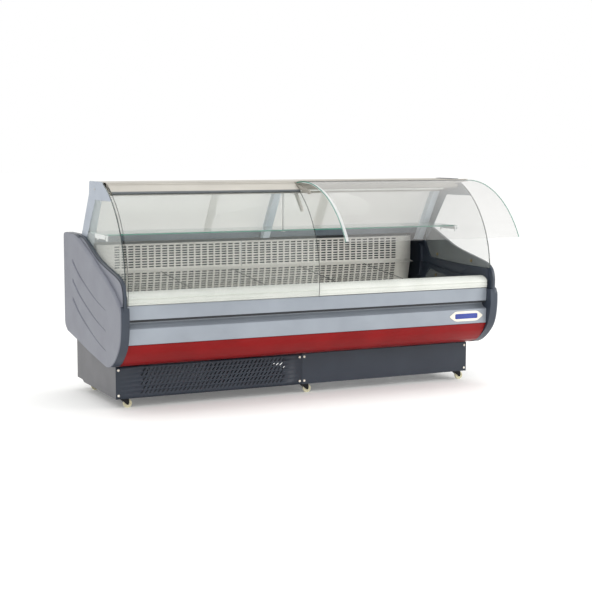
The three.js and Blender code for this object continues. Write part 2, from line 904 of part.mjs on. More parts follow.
function makeShelfSupport() {
  const outer = glassInner - gap;
  const top = shelfHeight - gap;
  const bar = block(outer - 22, outer - 2, shelfFront - 10, shelfFront + 172, top - 6, top);
  const cheek = block(outer - 3, outer, shelfFront - 10, shelfFront + 172, top - 20, top + 5);
  const knobs = [shelfFront - 3, shelfFront + 162].map((y) =>
    rod(6, [outer - 14, y, top - 30], [outer - 14, y, top - 3], 12),
  );
  return join([bar, cheek, ...knobs]);
}

const shelfSupport = makeShelfSupport();
piece("shelf_glass", makeShelf(), 0x9fcfc2, 0.05, 0);
piece("shelf_hanger", makeHanger(), steel, 0.2, 1);
piece("shelf_support_right", shelfSupport, aluminium, 0.3, 0.8);
piece("shelf_support_left", mirrorX(shelfSupport), aluminium, 0.3, 0.8);

// Evaporator under the rear duct and its fans ---------------------------------

function makeEvaporator() {
  const coilHalf = linerHalf - 220;
  const y0 = louvreY + 30;
  const y1 = tubInnerRear - 14;
  const bottom = tubBottom + 270;
  const top = deckRearHeight - 14;
  const coil = block(-coilHalf, coilHalf, y0, y1, bottom, top);
  const fins = [];
  for (let x = 40 - coilHalf; x < coilHalf - 40; x += 86) {
    fins.push(block(x, x + 60, y0 - 5, y0 + 12, bottom - 20, top + 20));
  }
  const ends = [-coilHalf - 6, coilHalf - 2].map((x) =>
    block(x, x + 8, y0 - 8, y1 + 8, bottom - 20, top + 16),
  );
  return cut(coil, fins).add(join(ends));
}

const fanY = deckRear - 172;
const fanZ = tubBottom + 202;
const fanX = [-460, 460];

function rotor(x, y, z, radius, hub, thickness, blades) {
  const parts = [rod(hub, [x, y - thickness / 2, z], [x, y + thickness / 2, z], 16)];
  for (let i = 0; i < blades; i += 1) {
    const blade = new THREE.BoxGeometry(radius - hub + 8, 3, thickness * 1.2);
    blade.rotateX(0.7);
    blade.translate((radius + hub - 8) / 2, 0, 0);
    blade.rotateY((2 * Math.PI * i) / blades);
    blade.translate(x, y, z);
    parts.push(solid(blade));
  }
  return join(parts);
}

// A plate with a round mouth for each fan and a motor on a bar behind it.
function makeFanTray() {
  const plateHalf = tubHalf - 30;
  const plate = block(-plateHalf, plateHalf, fanY - 1.5, fanY + 1.5, tubBottom + 66, tubBottom + 360);
  const holes = fanX.map((x) => rod(fanRadius + 7, [x, fanY - 9, fanZ], [x, fanY + 9, fanZ], 24));
  const motors = fanX.flatMap((x) => [
    rod(24, [x, fanY + 16, fanZ], [x, fanY + 60, fanZ], 12),
    block(x - 12, x + 12, fanY + 40, fanY + 46, fanZ - 104, fanZ + 104),
    block(x - 12, x + 12, fanY + 1, fanY + 46, fanZ + 98, fanZ + 104),
    block(x - 12, x + 12, fanY + 1, fanY + 46, fanZ - 104, fanZ - 98),
  ]);
  return join([cut(plate, holes), ...motors]);
}

piece("evaporator", makeEvaporator(), 0xb08a5a, 0.4, 0.8);
piece("evaporator_fan_tray", makeFanTray(), steel, 0.4, 0.8);
fanX.forEach((x, i) => {
  const place = i === 0 ? "left" : "right";
  piece("evaporator_fan_" + place, rotor(x, fanY + 2, fanZ, fanRadius, 26, 22, 5), black, 0.5, 0);
});

// Condensing unit on the base tray --------------------------------------------

const trayTop = frameBottom + baseSheet;
const condenserY = baseFront + 60;
const condenserZ = trayTop + 85;
const compressorX = condenserX + 430;
const compressorY = baseFront + 360;

function makeCondenser() {
  const coil = block(
    condenserX - 170,
    condenserX + 170,
    condenserY,
    condenserY + 44,
    trayTop + gap,
    trayTop + 160,
  );
  const cowl = block(
    condenserX - 150,
    condenserX + 150,
    condenserY + 40,
    condenserY + 96,
    trayTop + gap,
    trayTop + 158,
  );
  const y = condenserY + 46;
  const hollow = block(condenserX - 147, condenserX + 147, y, y + 60, trayTop + 6, trayTop + 155);
  const front = block(
    condenserX - 150,
    condenserX + 150,
    condenserY + 93,
    condenserY + 96,
    trayTop + gap,
    trayTop + 158,
  );
  const mouth = rod(
    condenserFanRadius + 6,
    [condenserX, y, condenserZ],
    [condenserX, y + 80, condenserZ],
    24,
  );
  const bar = block(condenserX - 8, condenserX + 8, y + 72, y + 77, trayTop + gap, trayTop + 158);
  const feet = [trayTop + 10, trayTop + 152].map((z) =>
    block(condenserX - 8, condenserX + 8, condenserY + 95, y + 77, z - 4, z + 4),
  );
  const motor = rod(20, [condenserX, y + 62, condenserZ], [condenserX, y + 96, condenserZ], 12);
  const cowlShell = cowl.subtract(hollow).add(front.subtract(mouth));
  return join([coil, cowlShell, bar, ...feet, motor]);
}

function makeCompressor() {
  const bottom = trayTop + gap;
  const top = tubBottom - 10;
  const profile = [
    [0, bottom + 18],
    [62, bottom + 18],
    [84, bottom + 34],
    [88, bottom + 70],
    [86, bottom + 76],
    [86, top - 44],
    [70, top - 16],
    [36, top - 2],
    [0, top],
  ].map(([r, h]) => new THREE.Vector2(r, h));
  const shell = new THREE.LatheGeometry(profile, 20);
  shell.rotateX(Math.PI / 2);
  const can = solid(shell.translate(compressorX, compressorY, 0));
  const around = (x, y, z0, z1) =>
    block(compressorX - x, compressorX + x, compressorY - y, compressorY + y, z0, z1);
  const mounts = [-70, 70].flatMap((x) =>
    [-50, 50].map((y) => {
      const at = [compressorX + x, compressorY + y];
      return rod(13, [...at, bottom + 2], [...at, bottom + 22], 10);
    }),
  );
  const plate = around(100, 70, bottom, bottom + 4);
  const saddle = around(80, 60, bottom + 18, bottom + 24);
  return join([can, plate, saddle, ...mounts]);
}

piece("condenser", makeCondenser(), 0x8b8f93, 0.5, 0.7);
piece(
  "condenser_fan",
  rotor(condenserX, condenserY + 90, condenserZ, condenserFanRadius, 18, 18, 5),
  0xb59a25,
  0.5,
  0,
);
piece("compressor", makeCompressor(), black, 0.4, 0.4);

// Rear controls ----------------------------------------------------------------

const controlX = -700;
const controlZ = worktopHeight - 62;
const rockerX = controlX + 70;
const rockerTip = (8 * Math.PI) / 180; // each way from level

function makeControlPanel() {
  const y = tubRear + gap;
  const face = block(controlX - 110, controlX + 110, y, y + 8, controlZ - 30, controlZ + 30);
  const well = block(rockerX - 14, rockerX + 14, y + 2, y + 20, controlZ - 10, controlZ + 10);
  const window = block(controlX - 70, controlX + 10, y + 6.5, y + 20, controlZ - 16, controlZ + 16);
  return cut(face, [well, window]);
}

// A rocker switch that tips about a line across its middle; it stands switched off.
function makeRocker() {
  const pivot = [tubRear + gap + 7, controlZ];
  const profile = [
    [-3.5, -5],
    [0, -8.6],
    [3.4, -8.6],
    [1.8, 0],
    [3.4, 8.6],
    [0, 8.6],
    [-3.5, 5],
  ];
  const tipped = profile.map(([y, z]) => {
    const point = new THREE.Vector2(y, z).rotateAround(new THREE.Vector2(), rockerTip);
    return [pivot[0] + point.x, pivot[1] + point.y];
  });
  return alongX(tipped, rockerX - 13, rockerX + 13);
}

function makeGland() {
  const profile = [
    [0, 0],
    [gland + 3, 0],
    [gland + 3, 4],
    [gland, 6],
    [gland, 16],
    [gland - 3, 20],
    [5, 20],
    [5, 8],
    [0, 8],
  ].map(([r, h]) => new THREE.Vector2(r, h));
  const geometry = new THREE.LatheGeometry(profile, 16);
  geometry.translate(fit - 260, baseRear + gap, baseBottom + 90);
  return solid(geometry);
}

piece("control_panel", makeControlPanel(), black, 0.5, 0);
piece("power_rocker", makeRocker(), 0xa8241f, 0.4, 0);
piece("cord_gland", makeGland(), black, 0.5, 0);

// Tilting curved front ----------------------------------------------------------

const clampFrom = hingeAngle + 12 / midRadius;
const clampTo = hingeAngle + clampLength / midRadius;
const glassFrom = clampFrom + 14 / midRadius;

function makeFrontGlass(x0, x1) {
  const inside = arc(centre, glassRadius, glassFrom, lipAngle, 20);
  const outside = arc(centre, glassRadius + glass, lipAngle, glassFrom, 20);
  return alongX([...inside, ...outside].reverse(), x0, x1);
}

// An aluminium clamp along the glass's upper edge, with the hinge barrel and one arm.
function makeClamp(x0, x1, armX0) {
  const jaws = [
    ...arc(centre, glassRadius - 5, clampTo, clampFrom, 6),
    ...arc(centre, glassRadius + glass + 5, clampFrom, clampTo, 6),
  ];
  const mouth = [
    ...arc(centre, glassRadius - gap, clampTo + 0.05, glassFrom - 0.002, 6),
    ...arc(centre, glassRadius + glass + gap, glassFrom - 0.002, clampTo + 0.05, 6),
  ];
  const body = alongX(jaws, x0, x1).subtract(alongX(mouth, x0 - 5, x1 + 5));
  const barrel = rod(barrelRadius, [x0, ...hinge], [x1, ...hinge], 16);
  const neckAngle = hingeAngle + 8 / midRadius;
  const neck = [
    ...arc(centre, glassRadius - 3, clampFrom + 0.01, neckAngle - 0.012, 2),
    ...arc(centre, glassRadius + 8, neckAngle - 0.012, clampFrom + 0.01, 2),
  ];
  const armAngle = hingeAngle + Math.PI / 2 + 0.392; // inwards from the glass's tangent
  const reach = (distance, side) => [
    hinge[0] + distance * Math.cos(armAngle) - side * Math.sin(armAngle),
    hinge[1] + distance * Math.sin(armAngle) + side * Math.cos(armAngle),
  ];
  const arm = [
    reach(40, -4),
    reach(0, -6),
    reach(0, 8),
    reach(24, 20),
    reach(192, 22),
    reach(204, 12),
    reach(192, 2),
  ].reverse();
  return join([body, barrel, alongX(neck, x0, x1), alongX(arm, armX0, armX0 + 12)]);
}

// Each half of the front is built closed, then turned about its hinge line.
function makeFront(side, angle) {
  const turned = new THREE.Group();
  turned.position.set(0, hinge[0], hinge[1]);
  turned.rotation.x = (-angle * Math.PI) / 180;
  const carried = new THREE.Group();
  carried.position.set(0, -hinge[0], -hinge[1]);
  turned.add(carried);
  deliCase.add(turned);
  const x0 = side < 0 ? -fit : 2;
  const x1 = side < 0 ? -2 : fit;
  const armX0 = side < 0 ? -14 : 2;
  const place = side < 0 ? "left" : "right";
  piece("front_glass_" + place, makeFrontGlass(x0, x1), clearGlass, 0.05, 0, carried);
  piece("glass_clamp_" + place, makeClamp(x0, x1, armX0), 0xc4c1b8, 0.35, 0.6, carried);
}

makeFront(-1, 0);
makeFront(1, openAngle);

// The frame's origin is at the middle of the footprint, on the floor.
deliCase.updateMatrixWorld(true);
const bounds = new THREE.Box3().setFromObject(deliCase, true);
const middleOf = bounds.getCenter(new THREE.Vector3());
deliCase.position.set(-middleOf.x, -middleOf.y, -bounds.min.z);

export default deliCase;
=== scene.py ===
import json
import math

import bmesh
import bpy
import numpy as np
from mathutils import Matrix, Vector

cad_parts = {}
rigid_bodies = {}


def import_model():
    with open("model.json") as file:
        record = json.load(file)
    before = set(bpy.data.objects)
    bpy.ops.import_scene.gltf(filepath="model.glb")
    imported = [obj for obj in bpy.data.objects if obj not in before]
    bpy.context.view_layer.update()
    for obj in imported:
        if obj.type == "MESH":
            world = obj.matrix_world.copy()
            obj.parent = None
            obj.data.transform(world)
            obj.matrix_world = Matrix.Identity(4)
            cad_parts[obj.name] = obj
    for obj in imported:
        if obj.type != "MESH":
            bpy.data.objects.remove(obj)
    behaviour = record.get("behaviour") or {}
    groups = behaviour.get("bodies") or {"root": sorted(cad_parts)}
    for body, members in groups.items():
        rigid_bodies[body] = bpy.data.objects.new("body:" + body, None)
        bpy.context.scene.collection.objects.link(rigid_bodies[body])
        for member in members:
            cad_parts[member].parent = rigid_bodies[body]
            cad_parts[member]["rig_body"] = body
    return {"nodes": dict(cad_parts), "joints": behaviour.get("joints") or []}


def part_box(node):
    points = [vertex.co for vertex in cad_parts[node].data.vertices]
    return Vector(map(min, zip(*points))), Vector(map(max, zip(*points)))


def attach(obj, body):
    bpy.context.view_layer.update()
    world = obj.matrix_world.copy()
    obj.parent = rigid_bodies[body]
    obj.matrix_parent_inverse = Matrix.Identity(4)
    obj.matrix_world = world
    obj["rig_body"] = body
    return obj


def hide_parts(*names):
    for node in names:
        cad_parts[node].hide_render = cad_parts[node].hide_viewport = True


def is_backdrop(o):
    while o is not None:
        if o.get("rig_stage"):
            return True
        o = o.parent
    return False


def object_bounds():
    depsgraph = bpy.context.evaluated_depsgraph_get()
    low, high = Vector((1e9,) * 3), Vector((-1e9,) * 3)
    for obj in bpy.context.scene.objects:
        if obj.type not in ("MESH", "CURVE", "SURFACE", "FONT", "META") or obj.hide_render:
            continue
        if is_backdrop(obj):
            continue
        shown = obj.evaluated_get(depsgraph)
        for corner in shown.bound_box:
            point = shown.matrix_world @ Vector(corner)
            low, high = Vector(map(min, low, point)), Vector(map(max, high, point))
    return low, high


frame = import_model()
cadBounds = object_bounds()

# Serve-over refrigerated counter. Profiles are in millimetres: depth from the canopy's
# own zero line, and height from the floor. toRow turns them into metres on the frame.
canopyRear = 38
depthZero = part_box("canopy")[1].y - canopyRear / 1000
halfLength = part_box("end_cover_right")[1].x * 1000
noseY = (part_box("end_frame_left")[0].y - depthZero) * 1000 - 3
rearY = (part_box("end_frame_left")[1].y - depthZero) * 1000
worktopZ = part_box("worktop")[1].z * 1000
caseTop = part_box("end_glass_left")[1].z * 1000
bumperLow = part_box("bumper_rail")[0]
print("frame loaded:", len(frame["nodes"]), "nodes")


# mesh helpers

def toRow(points):
    # metres in the frame: depth and height over 1000, with the depth zero added
    return np.asarray(points, float) / 1000 + [depthZero, 0]


def smoothLine(points, steps):
    # a uniform Catmull-Rom curve through the points: cubic in t with half-difference tangents
    p = np.array(points, float)
    last = len(p) - 1
    t = np.linspace(0, last, steps + 1)
    i = np.minimum(t.astype(int), last - 1)
    t = (t - i)[:, None]
    before, start, end, after = p[np.maximum(i - 1, 0)], p[i], p[i + 1], p[np.minimum(i + 2, last)]
    into, out = (end - before) / 2, (after - start) / 2
    cubic, square = 2 * start - 2 * end + into + out, 3 * end - 3 * start - 2 * into - out
    return cubic * t**3 + square * t**2 + into * t + start


def softCorners(points, radius, steps=5):
    # each corner becomes a quadratic curve between two points cut back along its sides
    p = np.array(points, float)
    back, ahead = np.roll(p, 1, 0) - p, np.roll(p, -1, 0) - p
    backLength = np.linalg.norm(back, axis=1, keepdims=True)
    aheadLength = np.linalg.norm(ahead, axis=1, keepdims=True)
    r = np.broadcast_to(np.reshape(radius, (-1, 1)), (len(p), 1))
    a = p + back / backLength * np.minimum(r, 0.45 * backLength)
    b = p + ahead / aheadLength * np.minimum(r, 0.45 * aheadLength)
    t = np.linspace(0, 1, steps)[None, :, None]
    return ((1 - t) ** 2 * a[:, None] + 2 * t * (1 - t) * p[:, None] + t**2 * b[:, None]).reshape(-1, 2)


def evenSteps(line, count, closed=False):
    # the same line with points at equal distances along it
    p = np.vstack([line, line[:1]]) if closed else np.asarray(line, float)
    along = np.concatenate([[0], np.cumsum(np.linalg.norm(np.diff(p[:, :2], axis=0), axis=1))])
    wanted = np.linspace(0, along[-1], count + 1)[:count] if closed else np.linspace(0, along[-1], count)
    return np.stack([np.interp(wanted, along, p[:, k]) for k in range(p.shape[1])], axis=1)


def inset(line, distance, closed=True):
    # every point moved to the left of the way the line runs
    ahead = np.roll(line, -1, 0) - np.roll(line, 1, 0) if closed else np.gradient(line, axis=0)
    ahead = ahead / np.maximum(np.linalg.norm(ahead, axis=1, keepdims=True), 1e-9)
    return line + np.stack([-ahead[:, 1], ahead[:, 0]], axis=1) * distance


def gridFaces(rows, columns, closedRows=False, closedColumns=False):
    # the four corners of each cell of a grid of points
    i, j = np.meshgrid(
        np.arange(rows if closedRows else rows - 1),
        np.arange(columns if closedColumns else columns - 1),
        indexing="ij",
    )
    iNext, jNext = (i + 1) % rows, (j + 1) % columns
    here, ahead = i * columns, iNext * columns
    corners = np.stack([here + j, here + jNext, ahead + jNext, ahead + j], -1)
    return corners.reshape(-1, 4)


def tubeFaces(count, rings=2):
    # the walls between closed rings of points, and a flat face on the first and the last ring
    walls = gridFaces(rings, count, closedColumns=True).tolist()
    return walls + [list(range(count)), list(range((rings - 1) * count, rings * count))]


def finishPiece(piece, body, material, replaces=(), slot=None, sharp=35, bevel=0.0, outwards=True):
    # faces turned outwards, edges over the sharp angle kept hard, and broken when a bevel is given
    mesh = piece.data
    if outwards:
        shell = bmesh.new()
        shell.from_mesh(mesh)
        bmesh.ops.remove_doubles(shell, verts=shell.verts, dist=1e-6)
        bmesh.ops.recalc_face_normals(shell, faces=shell.faces)
        shell.to_mesh(mesh)
        shell.free()
    mesh.materials.clear()
    mesh.materials.append(material)
    mesh.polygons.foreach_set("use_smooth", np.ones(len(mesh.polygons), bool))
    mesh.set_sharp_from_angle(angle=math.radians(sharp))
    if bevel:
        edge = piece.modifiers.new("edge", "BEVEL")
        edge.width = bevel
        edge.segments = 2
        edge.limit_method = "ANGLE"
        edge.angle_limit = math.radians(sharp)
        edge.harden_normals = True
    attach(piece, body)
    if replaces:
        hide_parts(*replaces)
    return piece


def makePiece(name, vertices, faces, body, material, **rest):
    # a mesh from whole arrays of points and faces; metres
    mesh = bpy.data.meshes.new(name)
    mesh.from_pydata(np.asarray(vertices, float).tolist(), [], [list(f) for f in faces])
    piece = bpy.data.objects.new(name, mesh)
    bpy.context.scene.collection.objects.link(piece)
    return finishPiece(piece, body, material, **rest)


def sweep(name, profile, x0, x1, body, material, **rest):
    # a closed outline carried along X, with flat ends; x in millimetres
    row = toRow(profile)
    count = len(row)
    ends = [np.column_stack([np.full(count, x / 1000), row]) for x in (x0, x1)]
    return makePiece(name, np.vstack(ends), tubeFaces(count), body, material, **rest)


def lathe(name, profile, centre, axis, body, material, steps=40, **rest):
    # radius and height pairs turned round an axis through centre; a radius of 0 closes the end
    profile = np.array(profile, float) / 1000
    angle = np.linspace(0, 2 * math.pi, steps, endpoint=False)[:, None]
    radius, height = profile.T
    height = np.broadcast_to(height, (steps, len(profile)))
    ring = np.stack([radius * np.cos(angle), radius * np.sin(angle), height], axis=-1).reshape(-1, 3)
    turn = Vector((0, 0, 1)).rotation_difference(Vector(axis)).to_matrix()
    points = ring @ np.array(turn).T + np.array(centre)
    faces = gridFaces(steps, len(profile), closedRows=True)
    return makePiece(name, points, faces, body, material, **rest)


def plateWithSlots(name, columns, path, slotRows, lean, thickness, body, material, **rest):
    # a grid of columns by path points with the slot cells left out; lean shifts each path point in x
    columns = np.array(columns, float)
    rows = toRow(path)
    x = np.broadcast_to(columns, (len(rows), len(columns))).copy()
    x[:, 1:-1] += np.reshape(lean, (-1, 1))
    depth, height = np.broadcast_to(rows[:, :1], x.shape), np.broadcast_to(rows[:, 1:], x.shape)
    points = np.stack([x / 1000, depth, height], -1)
    faces = gridFaces(len(rows), len(columns)).reshape(len(rows) - 1, len(columns) - 1, 4)
    keep = np.ones(faces.shape[:2], bool)
    keep[np.ix_(slotRows, np.arange(1, len(columns) - 1, 2))] = False
    plate = makePiece(name, points.reshape(-1, 3), faces[keep], body, material, outwards=False, **rest)
    wall = plate.modifiers.new("wall", "SOLIDIFY")
    wall.thickness = thickness
    wall.offset = -1
    return plate


def refine(node, material, bevel=0.0012, slot=None, sharp=32):
    # the node's own shape, merged, with flat faces joined up and its edges broken
    source = frame["nodes"][node]
    shape = bmesh.new()
    shape.from_mesh(source.data)
    bmesh.ops.remove_doubles(shape, verts=shape.verts, dist=2e-6)
    bmesh.ops.dissolve_limit(
        shape, angle_limit=math.radians(0.4), verts=shape.verts, edges=shape.edges, delimit={"NORMAL"}
    )
    mesh = bpy.data.meshes.new(node + "_shell")
    shape.to_mesh(mesh)
    shape.free()
    piece = bpy.data.objects.new(node + "_shell", mesh)
    bpy.context.scene.collection.objects.link(piece)
    body = source["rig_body"]
    return finishPiece(
        piece, body, material, replaces=(node,), slot=slot, bevel=bevel, sharp=sharp, outwards=False
    )


# materials

def linear(hexColor, alpha=1.0):
    # a display colour turned into light: a straight foot, then a power curve
    c = np.array([int(hexColor[i : i + 2], 16) for i in (1, 3, 5)]) / 255
    value = np.where(c <= 0.04045, c / 12.92, ((c + 0.055) / 1.055) ** 2.4)
    return (*value.tolist(), alpha)


def addNode(tree, kind, settings=None, inputs=None):
    # a node with its settings; an input is a value or the socket that feeds it
    node = tree.nodes.new(kind)
    for key, value in (settings or {}).items():
        setattr(node, key, value)
    for key, value in (inputs or {}).items():
        if isinstance(value, bpy.types.NodeSocket):
            tree.links.new(value, node.inputs[key])
        else:
            node.inputs[key].default_value = value
    return node


def newMaterial(name, **sockets):
    # a bare shader with its output, and the coordinates that its patterns are laid on
    material = bpy.data.materials.new(name)
    material.use_nodes = True
    tree = material.node_tree
    tree.nodes.clear()
    shader = addNode(tree, "ShaderNodeBsdfPrincipled", inputs=sockets)
    addNode(tree, "ShaderNodeOutputMaterial", inputs={"Surface": shader.outputs["BSDF"]})
    coords = addNode(tree, "ShaderNodeTexCoord").outputs["Object"]
    return material, tree, shader, coords


def perMetre(millimetres):
    return 1000 / millimetres  # a texture's scale for a pattern of this size


def tone(tree, coords, dark, light, millimetres, detail=3.0, stretch=(1, 1, 1)):
    # two tones mixed by a soft noise, which takes the flatness off a large panel
    mapped = addNode(tree, "ShaderNodeMapping", inputs={"Vector": coords, "Scale": stretch})
    noise = addNode(
        tree, "ShaderNodeTexNoise",
        inputs={"Vector": mapped.outputs[0], "Scale": perMetre(millimetres), "Detail": detail},
    )
    ramp = addNode(tree, "ShaderNodeValToRGB", inputs={"Fac": noise.outputs["Fac"]})
    ramp.color_ramp.elements[0].position = 0.3
    ramp.color_ramp.elements[1].position = 0.7
    ramp.color_ramp.elements[0].color = linear(dark)
    ramp.color_ramp.elements[1].color = linear(light)
    return ramp.outputs["Color"]


def grain(tree, coords, millimetres, height, stretch=(1, 1, 1), detail=2.0, kind="ShaderNodeTexNoise"):
    # a fine pattern of this size, and the bump that it makes at this height; millimetres
    mapped = addNode(tree, "ShaderNodeMapping", inputs={"Vector": coords, "Scale": stretch})
    noise = addNode(tree, kind, inputs={"Vector": mapped.outputs[0], "Scale": perMetre(millimetres)})
    if kind == "ShaderNodeTexNoise":
        noise.inputs["Detail"].default_value = detail
    fac = noise.outputs["Fac" if kind == "ShaderNodeTexNoise" else "Distance"]
    bump = addNode(
        tree, "ShaderNodeBump", inputs={"Strength": 0.35, "Distance": height / 1000, "Height": fac}
    )
    return fac, bump.outputs["Normal"]


def spread(tree, value, low, high):
    # a 0 to 1 pattern turned into a range, for roughness
    moved = addNode(tree, "ShaderNodeMapRange", inputs={"Value": value, "To Min": low, "To Max": high})
    return moved.outputs["Result"]


def coated(name, dark, light, roughness, peel=2.5, metallic=0.0, coat=0.0, shine=0.5):
    # powder coat sprayed and baked: an even colour, with a slight orange peel that softens its highlights
    material, tree, shader, coords = newMaterial(name, Metallic=metallic)
    shader.inputs["Coat Weight"].default_value = coat
    shader.inputs["Specular IOR Level"].default_value = shine
    shader.inputs["Coat Roughness"].default_value = 0.12
    fac, normal = grain(tree, coords, peel, 0.05)
    tree.links.new(tone(tree, coords, dark, light, 220), shader.inputs["Base Color"])
    tree.links.new(spread(tree, fac, roughness - 0.04, roughness + 0.05), shader.inputs["Roughness"])
    tree.links.new(normal, shader.inputs["Normal"])
    return material


def moulded(name, dark, light, roughness, cell=1.6):
    # plastic pressed against an etched mould: fine cells that scatter the light
    material, tree, shader, coords = newMaterial(name)
    fac, normal = grain(tree, coords, cell, 0.06, kind="ShaderNodeTexVoronoi")
    tree.links.new(tone(tree, coords, dark, light, 160), shader.inputs["Base Color"])
    tree.links.new(spread(tree, fac, roughness - 0.05, roughness + 0.08), shader.inputs["Roughness"])
    tree.links.new(normal, shader.inputs["Normal"])
    return material


def brushed(name, dark, light, roughness, stretch=(0.02, 1, 1), line=0.8):
    # steel rubbed one way with a belt: long scratches that draw the reflection out across them
    material, tree, shader, coords = newMaterial(name, Metallic=1.0)
    fac, normal = grain(tree, coords, line * 2, 0.01, stretch=stretch, detail=3)
    tree.links.new(tone(tree, coords, dark, light, 30, stretch=stretch), shader.inputs["Base Color"])
    tree.links.new(spread(tree, fac, roughness - 0.05, roughness + 0.07), shader.inputs["Roughness"])
    tree.links.new(normal, shader.inputs["Normal"])
    return material


def polished(name, dark, light, roughness):
    # sheet rolled against mirror rolls: a near mirror, with slow waves that bend what it reflects
    material, tree, shader, coords = newMaterial(name, Metallic=1.0)
    fac, normal = grain(tree, coords, 160, 0.12, detail=1)
    tree.links.new(tone(tree, coords, dark, light, 240), shader.inputs["Base Color"])
    tree.links.new(spread(tree, fac, roughness - 0.02, roughness + 0.03), shader.inputs["Roughness"])
    tree.links.new(normal, shader.inputs["Normal"])
    return material


def glassy(name, tint, clearness, edge, roughness=0.02):
    # float glass: clear face on, more mirror-like along its edges, with faint wipe marks
    material, tree, shader, coords = newMaterial(name)
    weight = addNode(tree, "ShaderNodeLayerWeight", inputs={"Blend": 0.5})
    alpha = spread(tree, weight.outputs["Facing"], clearness, edge)
    wipes = addNode(
        tree, "ShaderNodeTexNoise", inputs={"Vector": coords, "Scale": perMetre(180), "Detail": 4.0}
    )
    smear = spread(tree, wipes.outputs["Fac"], roughness, roughness + 0.05)
    shader.inputs["Base Color"].default_value = linear(tint)
    tree.links.new(smear, shader.inputs["Roughness"])
    tree.links.new(alpha, shader.inputs["Alpha"])
    return material


slateAbs = moulded("slate moulded ABS", "#2d3440", "#373f4b", 0.36)
greyAbs = moulded("grey moulded ABS", "#70727d", "#7a7d87", 0.42, cell=2.2)
silverCoat = coated("silver grey powder coat", "#8c939c", "#979ea7", 0.34, coat=0.12)
redCoat = coated("gloss red powder coat", "#7e0709", "#8c0a0d", 0.36, shine=0.2)
baseCoat = coated("slate powder coat", "#222a36", "#2a323e", 0.5)
# the base's paint in a lighter grey for the shell's sides: painted light
baseShellLitCoat = coated("charcoal powder coat", "#555559", "#636367", 0.45)
frameCoat = coated("black painted tube", "#26282b", "#303236", 0.5)
tubCoat = coated("coated galvanised sheet", "#b9bdc0", "#c6c9cb", 0.4)
blackZinc = coated("black zinc plated steel", "#141517", "#1f2023", 0.35, metallic=0.6)
creamNylon = moulded("cream cast nylon", "#cdc7a4", "#dbd6b8", 0.38)
ivoryPvc = moulded("ivory extruded PVC", "#cfd2cb", "#dbddd7", 0.26, cell=4.0)
# white PVC for the shelf supports, also used for the painted highlight along the raised pane's edge
whitePvcAndHighlight = moulded("white extruded PVC, also a painted highlight", "#e3e6e6", "#f0f2f2", 0.25, cell=4.0)
champagne = coated(
    "champagne anodised aluminium", "#a5a198", "#b1ada4", 0.42, peel=1.2, metallic=0.25
)
satinAluminium = coated(
    "satin anodised aluminium", "#c6d0da", "#d2dce5", 0.3, peel=0.8, metallic=0.15
)
sillAluminium = coated("grey anodised aluminium", "#6f7983", "#7b8590", 0.36, peel=0.8, metallic=0.2)
stainless = brushed("brushed stainless steel", "#b4b5b3", "#c4c5c3", 0.3)
brightSteel = polished("bright polished stainless steel", "#dededb", "#e8e8e5", 0.045)
louvreSteel = coated("white coated louvre sheet", "#dedbd4", "#e9e6e0", 0.32)
brassMetal = brushed("lacquered brass", "#8d7a4e", "#a8946a", 0.35)
finPack = brushed(
    "aluminium fin pack with copper tube", "#8f8578", "#a89b8c", 0.4, stretch=(1, 0.05, 0.05)
)
clearGlass = glassy("clear toughened glass", "#d0d5d0", 0.04, 0.26)
# the same glass as the closed pane, greyer and more mirror-like at its edges: a painted reflection on the
# raised pane
raisedGlassPaintedGrey = glassy("clear toughened glass, raised, with painted reflection", "#bdbcba", 0.05, 0.42)
shelfGlass = glassy("clear float glass shelf", "#bfe0d6", 0.1, 0.45)
edgeGlass = glassy("cut green glass edge", "#4f9c8a", 0.88, 0.95)
# the same cut glass edge made darker: painted shade on the closed front pane and the end panes
shadedGlassEdge = glassy("cut glass edge, darker for painted shade", "#2c3a3a", 0.85, 0.95)
printBand = moulded("grey screen-printed band", "#969fac", "#a1aab6", 0.3)
doorAcrylic = glassy("frosted acrylic door", "#f1f0eb", 0.4, 0.62, roughness=0.22)
diffuser = moulded("white lamp diffuser", "#f1f1ec", "#fbfbf8", 0.3)
blackAbs = moulded("black moulded ABS", "#141517", "#1e2022", 0.45)
# black gasket for the real deck joints, also used as painted shade behind the louvre slots and under the
# panel's upper face
blackGasketAndShade = moulded("black EPDM gasket and painted shade", "#17191d", "#22252a", 0.6)
# grey used only for the painted shade under the glass clamp
clampShadeGrey = moulded("grey painted shade under the clamp", "#4c5153", "#575c5e", 0.6)
yellowCoat = coated("yellow fan paint", "#a98f20", "#bfa52e", 0.45)
enamel = coated("black compressor enamel", "#121315", "#1b1c1f", 0.28)
greyCoat = coated("grey condenser paint", "#85898d", "#93979b", 0.45)
rockerRed = moulded("red moulded polycarbonate", "#93201b", "#a8281f", 0.3)
print("materials made:", len(bpy.data.materials))


# ends: slate frame and grey cover with grooves

endForm = {
    "rollWidth": 3.5,  # rounded edge of the cover's face
    "creaseWidth": 24,  # soft shoulder down to the recess
    "creaseDepth": 11,
    "recessDepth": 18,
    "recessSheet": 3,
    "rimWidth": 12.6,
    "points": 560,
    "rings": 140,
    "grooveHalf": 12,  # half width at the deep end
    "grooveDepth": 11,
    "grooveStarts": (0.228, 0.392, 0.55),
    # how far a groove has run forwards from the rear edge, and the share of the height it has dropped
    "grooveCourse": ((185, 0.0015), (330, 0.114), (600, 0.2515), (813, 0.3235)),
    "middle": (-60.0, 540.0),  # where the rings of the face shrink to
    "wallDepth": 6.3,  # how far back the hidden edge wall stands
    "wallInset": 14,
}


def along(part):
    # a share of the depth, from the nose to the rear
    return noseY + part * (rearY - noseY)


